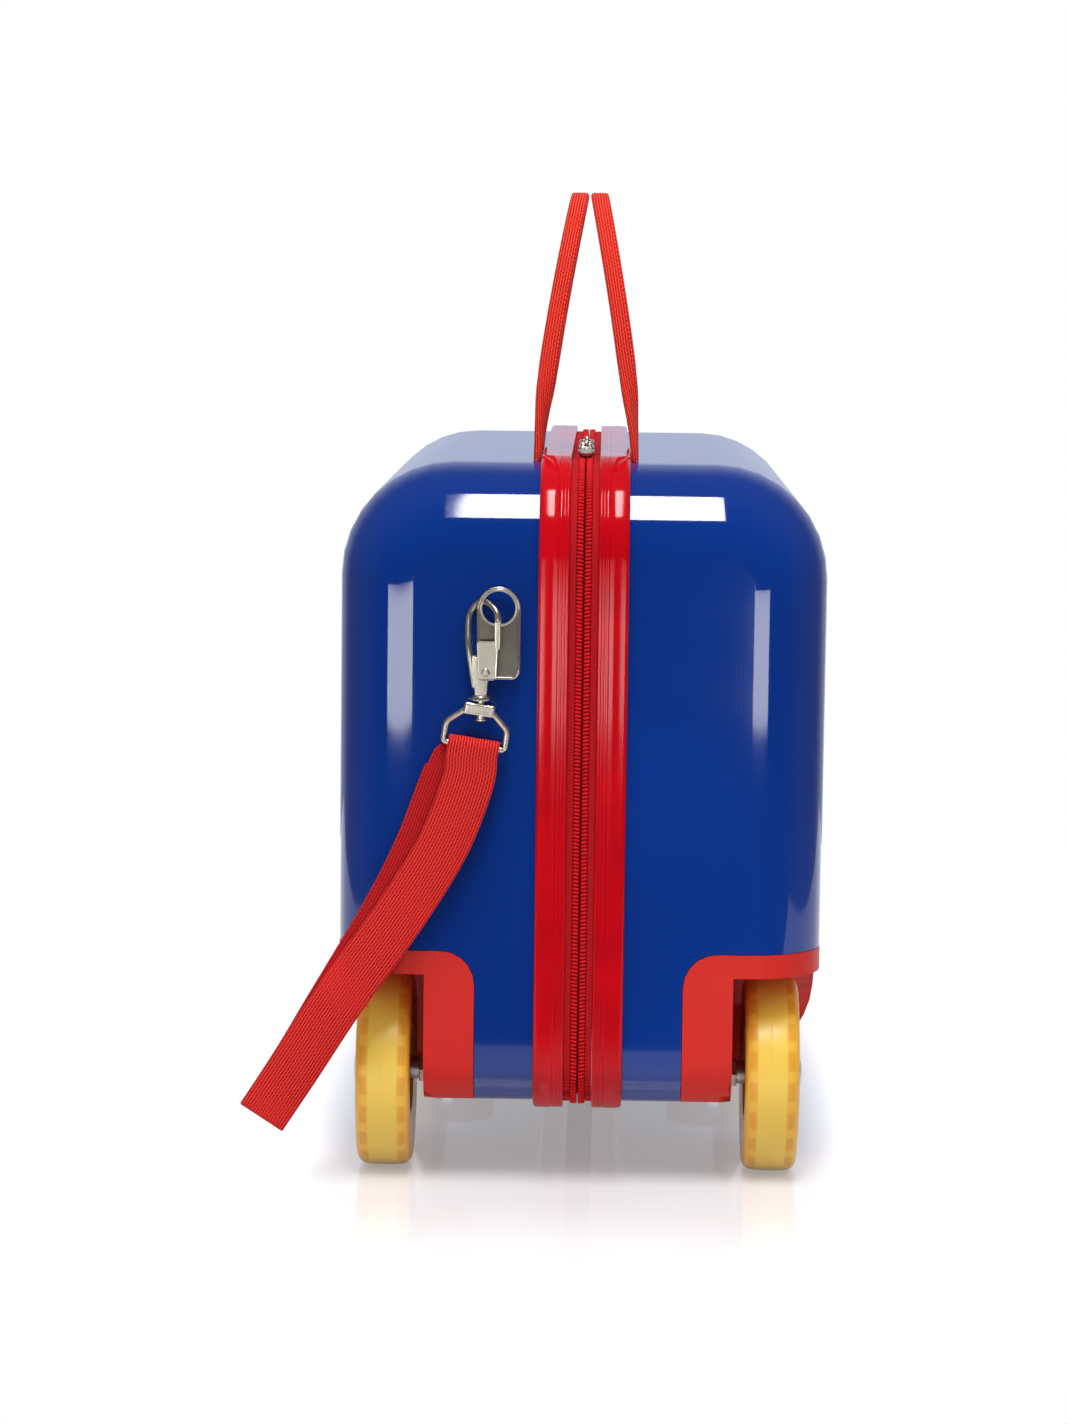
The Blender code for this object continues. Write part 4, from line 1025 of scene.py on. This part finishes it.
def make_puller(name, y):
    """Wire eye through the bridge, with a plate on it, each face sunk a little."""
    loop = [(-0.0023, 0, 0), (0.0023, 0, 0), (0.0031, -0.0010, 0), (0.0031, -0.0060, 0)]
    loop += [(-0.0031, -0.0060, 0), (-0.0031, -0.0010, 0)]
    bm = wire(loop, 0.0008, cyclic=True)
    start = -0.0052
    tab = block((-0.0028, start - 0.0154, -0.0007), (0.0028, start, 0.0007))
    round_edges(tab, edges_along(tab, 2), 0.0018, 5)
    tab.normal_update()
    top = [f for f in tab.faces if abs(f.normal.z) > 0.9]
    bmesh.ops.inset_region(tab, faces=top, thickness=0.0006, depth=-0.00025)
    join(bm, tab)
    move(bm, Matrix.Translation((0, y, EYE_Z)) @ Matrix.Rotation(PULLER_TILT, 4, "X"))
    piece(f"{name}_puller", bm, nickel, f"puller_{name}", [f"zip_puller_{name}"], 40)


for name, y in SLIDER_Y.items():
    make_slider(name, y)
    make_puller(name, y)


# Anchor plate, snap hook, swivel and ring

ANCHOR_X = -0.041
RING_EYE_Z = 0.2877
PLATE_RADIUS = 0.01025
EYE_RADIUS = 0.008
PLATE_BOTTOM = 0.25275
PLATE_CORNER = 0.004
PLATE_BACK = FACE_Y - 0.004
PLATE_FRONT = PLATE_BACK - 0.002
RIM_RADIUS = 0.0007
BOSS_Z = 0.262
BOSS_HALF = 0.006
BOW_RADIUS = 0.0015
SHANK_LOW = 0.2442
SHANK_NECK = 0.2560
COLLAR_Z = 0.2440
RIVET_Z = 0.2323
LEVER_LOW = 0.2528
LEVER_HIGH = 0.2718
LEVER_BACK = HOOK_Y - 0.0018
LEVER_FRONT = LEVER_BACK - 0.0012
PIN_PLACE = (-0.0470, -0.2348, 0.2565)
BOW_ROUTE = (
    (-0.0522, HOOK_Y, 0.2492), (-0.0540, HOOK_Y, 0.2600), (-0.0554, -0.2330, 0.2692),
    (-0.0558, -0.2302, 0.2769), (-0.0553, -0.2275, 0.2838), (-0.0522, -0.2267, 0.2888),
    (-0.0488, -0.2270, 0.2901), (-0.0462, -0.2288, 0.2895), (-0.0425, -0.2322, 0.2865),
    (-0.0413, HOOK_Y, 0.2827), (-0.0413, HOOK_Y, 0.2793),
)


def plate_outline():
    inner = PLATE_RADIUS - PLATE_CORNER
    low = PLATE_BOTTOM + PLATE_CORNER
    return (
        arc((ANCHOR_X, RING_EYE_Z), PLATE_RADIUS, 0, 180, 32)
        + arc((ANCHOR_X - inner, low), PLATE_CORNER, 180, 270, 8)
        + arc((ANCHOR_X + inner, low), PLATE_CORNER, 270, 360, 8)
    )


def plate(outlines, low_y, high_y):
    """A flat plate between two depths, from an outline and its holes."""
    curve = bpy.data.curves.new("outline", "CURVE")
    curve.dimensions = "2D"
    curve.fill_mode = "BOTH"
    curve.extrude = (high_y - low_y) / 2
    for points in outlines:
        add_spline(curve, [(across, up, 0.0) for across, up in points], True)
    bm = curve_mesh(curve)
    move(bm, Matrix.Translation((0, (low_y + high_y) / 2, 0)) @ Matrix.Rotation(pi / 2, 4, "X"))
    return bm


def in_recess(face):
    return face.normal.y < -0.95 and face.area > 2e-6 and face.center.z < RING_EYE_Z


def make_anchor():
    outline = plate_outline()
    eye = arc((ANCHOR_X, RING_EYE_Z), EYE_RADIUS, 0, 352.5, 47)
    bm = plate([outline, eye], PLATE_FRONT, PLATE_BACK)
    rim_y = PLATE_FRONT + 0.0002
    middle = Vector((ANCHOR_X, rim_y, (RING_EYE_Z + PLATE_BOTTOM) / 2))
    rim = [Vector((x, rim_y, z)) for x, z in outline]
    rim = [p + (middle - p).normalized() * RIM_RADIUS for p in rim]
    join(bm, wire(rim, RIM_RADIUS, cyclic=True))
    ring = arc((ANCHOR_X, RING_EYE_Z), EYE_RADIUS + 0.0006, 0, 352.5, 47)
    join(bm, wire([(x, rim_y, z) for x, z in ring], RIM_RADIUS, cyclic=True))
    low = (ANCHOR_X - BOSS_HALF, PLATE_BACK - 0.001, BOSS_Z - BOSS_HALF)
    high = (ANCHOR_X + BOSS_HALF, FACE_Y - GAP, BOSS_Z + BOSS_HALF)
    join(bm, block(low, high, 0.0012, 3, runs_along(1)))
    made = piece("anchor_plate", bm, nickel, "left_half", ["strap_anchor"], 40)
    # Painted shade: the recessed face gets the dark nickel.
    second_finish(made, nickel_recess_painted_shade, in_recess)
    return made


def tapered(bm, middle, low, high, share):
    """Narrows a mesh across X towards its lower end."""
    for vert in bm.verts:
        height = (vert.co.z - low) / (high - low)
        width = share + (1 - share) * max(0.0, min(1.0, height))
        vert.co.x = middle + (vert.co.x - middle) * width


def make_hook():
    back = HOOK_Y + BOW_RADIUS
    bm = wire(smooth_line(BOW_ROUTE, 64), BOW_RADIUS, resolution=5)
    shank = block((-0.0537, HOOK_Y - BOW_RADIUS, SHANK_LOW), (-0.0447, back, 0.2640), 0.0009, 3)
    tapered(shank, SHANK_X, SHANK_LOW, SHANK_NECK, 0.62)
    join(bm, shank)
    join(bm, block((-0.0537, HOOK_Y - 0.0016, 0.2556), (-0.0517, back, 0.2650), 0.0007, 2))
    collar = cone(40, 0.0052, 0.0044, 0.0024)
    round_edges(collar, edges_along(collar, 2, False), 0.0007, 3)
    move_by(collar, SHANK_X, HOOK_Y, COLLAR_Z)
    join(bm, collar)
    hook = piece("snap_hook_body", bm, nickel, "snap_hook", ["hook_body"], 40)

    lever = block((-0.0514, LEVER_FRONT, LEVER_LOW), (-0.0410, LEVER_BACK, LEVER_HIGH))
    tapered(lever, -0.0462, LEVER_LOW, LEVER_HIGH, 0.84)
    round_edges(lever, edges_along(lever, 1), 0.0016, 4)
    lever.normal_update()
    face = [f for f in lever.faces if f.normal.y < -0.9]
    bmesh.ops.inset_region(lever, faces=face, thickness=0.0007, depth=-0.0003)
    join(lever, block((-0.0427, LEVER_FRONT, 0.2678), (-0.0399, LEVER_BACK, 0.2815), 0.0005, 2))
    gate = piece("thumb_gate", lever, nickel, "gate", ["hook_gate"], 40)

    pin = cone(24, 0.0012, 0.0012, 0.0052)
    join(pin, cone(24, 0.0020, 0.0014, 0.0008, (0, 0, 0.0025)))
    move(pin, Matrix.Translation(PIN_PLACE) @ Matrix.Rotation(pi / 2, 4, "X"))
    pin_piece = piece("gate_hinge_pin", pin, nickel, "snap_hook", ["gate_pin"], 40)

    stem = cone(24, 0.0018, 0.0018, 0.0110, (0, 0, 0.0060))
    head = bmesh.new()
    bmesh.ops.create_uvsphere(head, u_segments=28, v_segments=14, radius=0.0030)
    bmesh.ops.scale(head, vec=(1, 1, 0.30), verts=head.verts)
    move_by(head, 0, 0, 0.0009)
    join(stem, head)
    move_by(stem, SHANK_X, HOOK_Y, RIVET_Z)
    rivet = piece("swivel_rivet_turned", stem, nickel, "snap_hook", ["swivel_rivet"], 40)
    return [hook, gate, pin_piece, rivet]


def rounded_path(corners, radius, steps=5):
    """A closed path in XZ through corners, each rounded."""
    path = []
    places = [Vector((x, 0, z)) for x, z in corners]
    for before, here, after in zip(places[-1:] + places, places, places[1:] + places[:1]):
        start = here + (before - here).normalized() * radius
        end = here + (after - here).normalized() * radius
        for k in range(steps + 1):
            t = k / steps
            path.append((1 - t) ** 2 * start + 2 * t * (1 - t) * here + t**2 * end)
    return path


def make_ring():
    """A wire ring with sloping shoulders, through a block that turns on the rivet."""
    half = RING_HALF - RING_STOCK / 2
    bar = -RING_BAR_DROP
    corners = ((0.0060, -0.0032), (half, -0.0112), (half, bar))
    corners += tuple((-x, z) for x, z in reversed(corners))
    bm = wire(rounded_path(corners, 0.0022), RING_STOCK / 2, cyclic=True, resolution=5)
    join(bm, block((-0.0075, -0.0032, -0.0060), (0.0075, 0.0032, 0.0), 0.0013, 4))
    lean = Matrix.Translation((SHANK_X, HOOK_Y, SWIVEL_Z)) @ Matrix.Rotation(RING_LEAN, 4, "Y")
    move(bm, lean @ Matrix.Translation((0, 0, -RING_DROP)))
    return piece("strap_ring", bm, nickel, "ring", ["swivel_ring"], 40)


def loop_line():
    hang = Vector((SHANK_X, 0, SWIVEL_Z))
    down = Vector((-sin(RING_LEAN), 0, -cos(RING_LEAN)))
    bar = hang + down * (RING_BAR_DROP + RING_DROP)
    route = [Vector((x, 0, z)) for x, z in LOOP_ROUTE]
    return smooth_line([bar, bar + down * LOOP_STRAIGHT, *route], LOOP_STEPS)


def loop_sections():
    """Closed webbing over the ring's bar: front leg, fold, back leg, and over the bar."""
    line = loop_line()
    thick = LOOP_THICKNESS
    top_gap = RING_STOCK / 2 * sqrt(2) + GAP + thick / 2
    end_gap = thick / 2 + GAP
    front = Vector((0, -1, 0))
    at_y = Vector((0, HOOK_Y, 0))
    legs = []
    for i, middle in enumerate(line):
        along = (line[min(LOOP_STEPS, i + 1)] - line[max(0, i - 1)]).normalized()
        across = along.cross(front)
        share = i / LOOP_STEPS
        gap = top_gap + (end_gap - top_gap) * share
        shift = LOOP_BACK_SHIFT * sin(pi * share**0.75) ** 1.2 * (1 - share)
        legs.append((middle + at_y, along, across, gap, across * shift))
    sections = [(m + front * g, a, front) for m, _, a, g, _ in legs]
    for number, angles in ((-1, range(15, 180, 15)), (0, range(165, 0, -15))):
        if number == 0:
            sections += [(m - front * g + s, a, -front) for m, _, a, g, s in reversed(legs)]
        middle, along, across, gap, _ = legs[number]
        for angle in angles:
            out = front * cos(radians(angle)) + along * sin(radians(angle)) * (1 if number else -1)
            sections.append((middle + out * gap, across, out))
    return sections, [m + s / 2 for m, _, _, _, s in legs]


anchor_plate = make_anchor()
for slot in NODES["anchor_screw"].material_slots:
    slot.material = steel.material
hook_pieces = make_hook()
strap_ring = make_ring()
loop_places, loop_middle = loop_sections()
loop_mesh = swept(web_rings(loop_places, LOOP_WIDTH, LOOP_THICKNESS), closed=True)
pull_loop = piece("pull_strap", loop_mesh, loop_web, "loop", ["pull_loop"], 60)
# Painted shade: the back leg's faces get the deeper red webbing.
second_finish(pull_loop, loop_web_painted_shade, lambda face: face.center.y > HOOK_Y)
loop_length = sum((b - a).length for a, b in zip(loop_middle, loop_middle[1:]))


# Inside: hinge strip, linings, divider, packing straps and buckle

PACKING_X = 0.011
PACKING_STEPS = 24
PACKING_STRAPS = {"upper": (0.2193, 0.3516), "lower": (0.0444, 0.1767)}
BOARD_STRAIGHT_Y = 0.2
BOARD_CORNER_Z = 0.0464


def make_hinge_strip():
    bm = bmesh.new()
    bmesh.ops.create_grid(bm, x_segments=16, y_segments=64, size=0.5)
    bmesh.ops.scale(bm, vec=(HINGE_WIDTH, 2 * HINGE_HALF, 1), verts=bm.verts)
    bmesh.ops.solidify(bm, geom=bm.faces[:], thickness=0.0008)
    low = min(vert.co.z for vert in bm.verts)
    move_by(bm, 0, 0, CASE_BOTTOM - 0.0002 - low)
    strip = piece("hinge_strip", bm, zip_cloth, None, ["hinge_fabric"], 60)
    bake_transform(strip)


def make_packing_straps():
    across = Vector((0, 1, 0))
    through = Vector((1, 0, 0))
    for name, (low, high) in PACKING_STRAPS.items():
        heights = [low + (high - low) * i / PACKING_STEPS for i in range(PACKING_STEPS + 1)]
        places = [(Vector((PACKING_X, 0, z)), across, through) for z in heights]
        bm = swept(web_rings(places, 0.025, 0.001))
        replaced = [f"packing_strap_{name}"]
        piece(f"packing_tape_{name}", bm, strap_web, "right_half", replaced, 60)


def make_buckle():
    """Side release buckle: socket, and plug with its two prongs in the socket's windows."""
    bm = block((0.0075, -0.0150, 0.1770), (0.0145, 0.0150, 0.2000), 0.0016, 3)
    for low, high in ((-0.0170, -0.0110), (0.0110, 0.0170)):
        join(bm, block((0.0088, low, 0.1850), (0.0132, high, 0.2020), 0.0014, 3))
    join(bm, block((0.0080, -0.0160, 0.2006), (0.0140, 0.0160, 0.2190), 0.0016, 3))
    for z in (0.1798, 0.1826, 0.2134, 0.2160):
        join(bm, block((0.0072, -0.0125, z - 0.0006), (0.0148, 0.0125, z + 0.0006), 0.0005, 2))
    piece("release_buckle", bm, buckle_black, "right_half", ["packing_buckle"], 35)


def make_divider():
    """The board, with its lower corners cut up a little to clear the lining as it folds."""
    bm = node_copy("divider_panel")
    for vert in bm.verts:
        if abs(vert.co.y) > BOARD_STRAIGHT_Y:
            vert.co.z = max(vert.co.z, BOARD_CORNER_Z)
    piece("divider_board", bm, divider_grey, "divider", ["divider_panel"], 40, False)


make_hinge_strip()
make_packing_straps()
make_buckle()
for side in SIDES:
    cad_piece(f"{side}_lining", f"lining_{side}", lining_grey, f"{side}_half", 50)
make_divider()
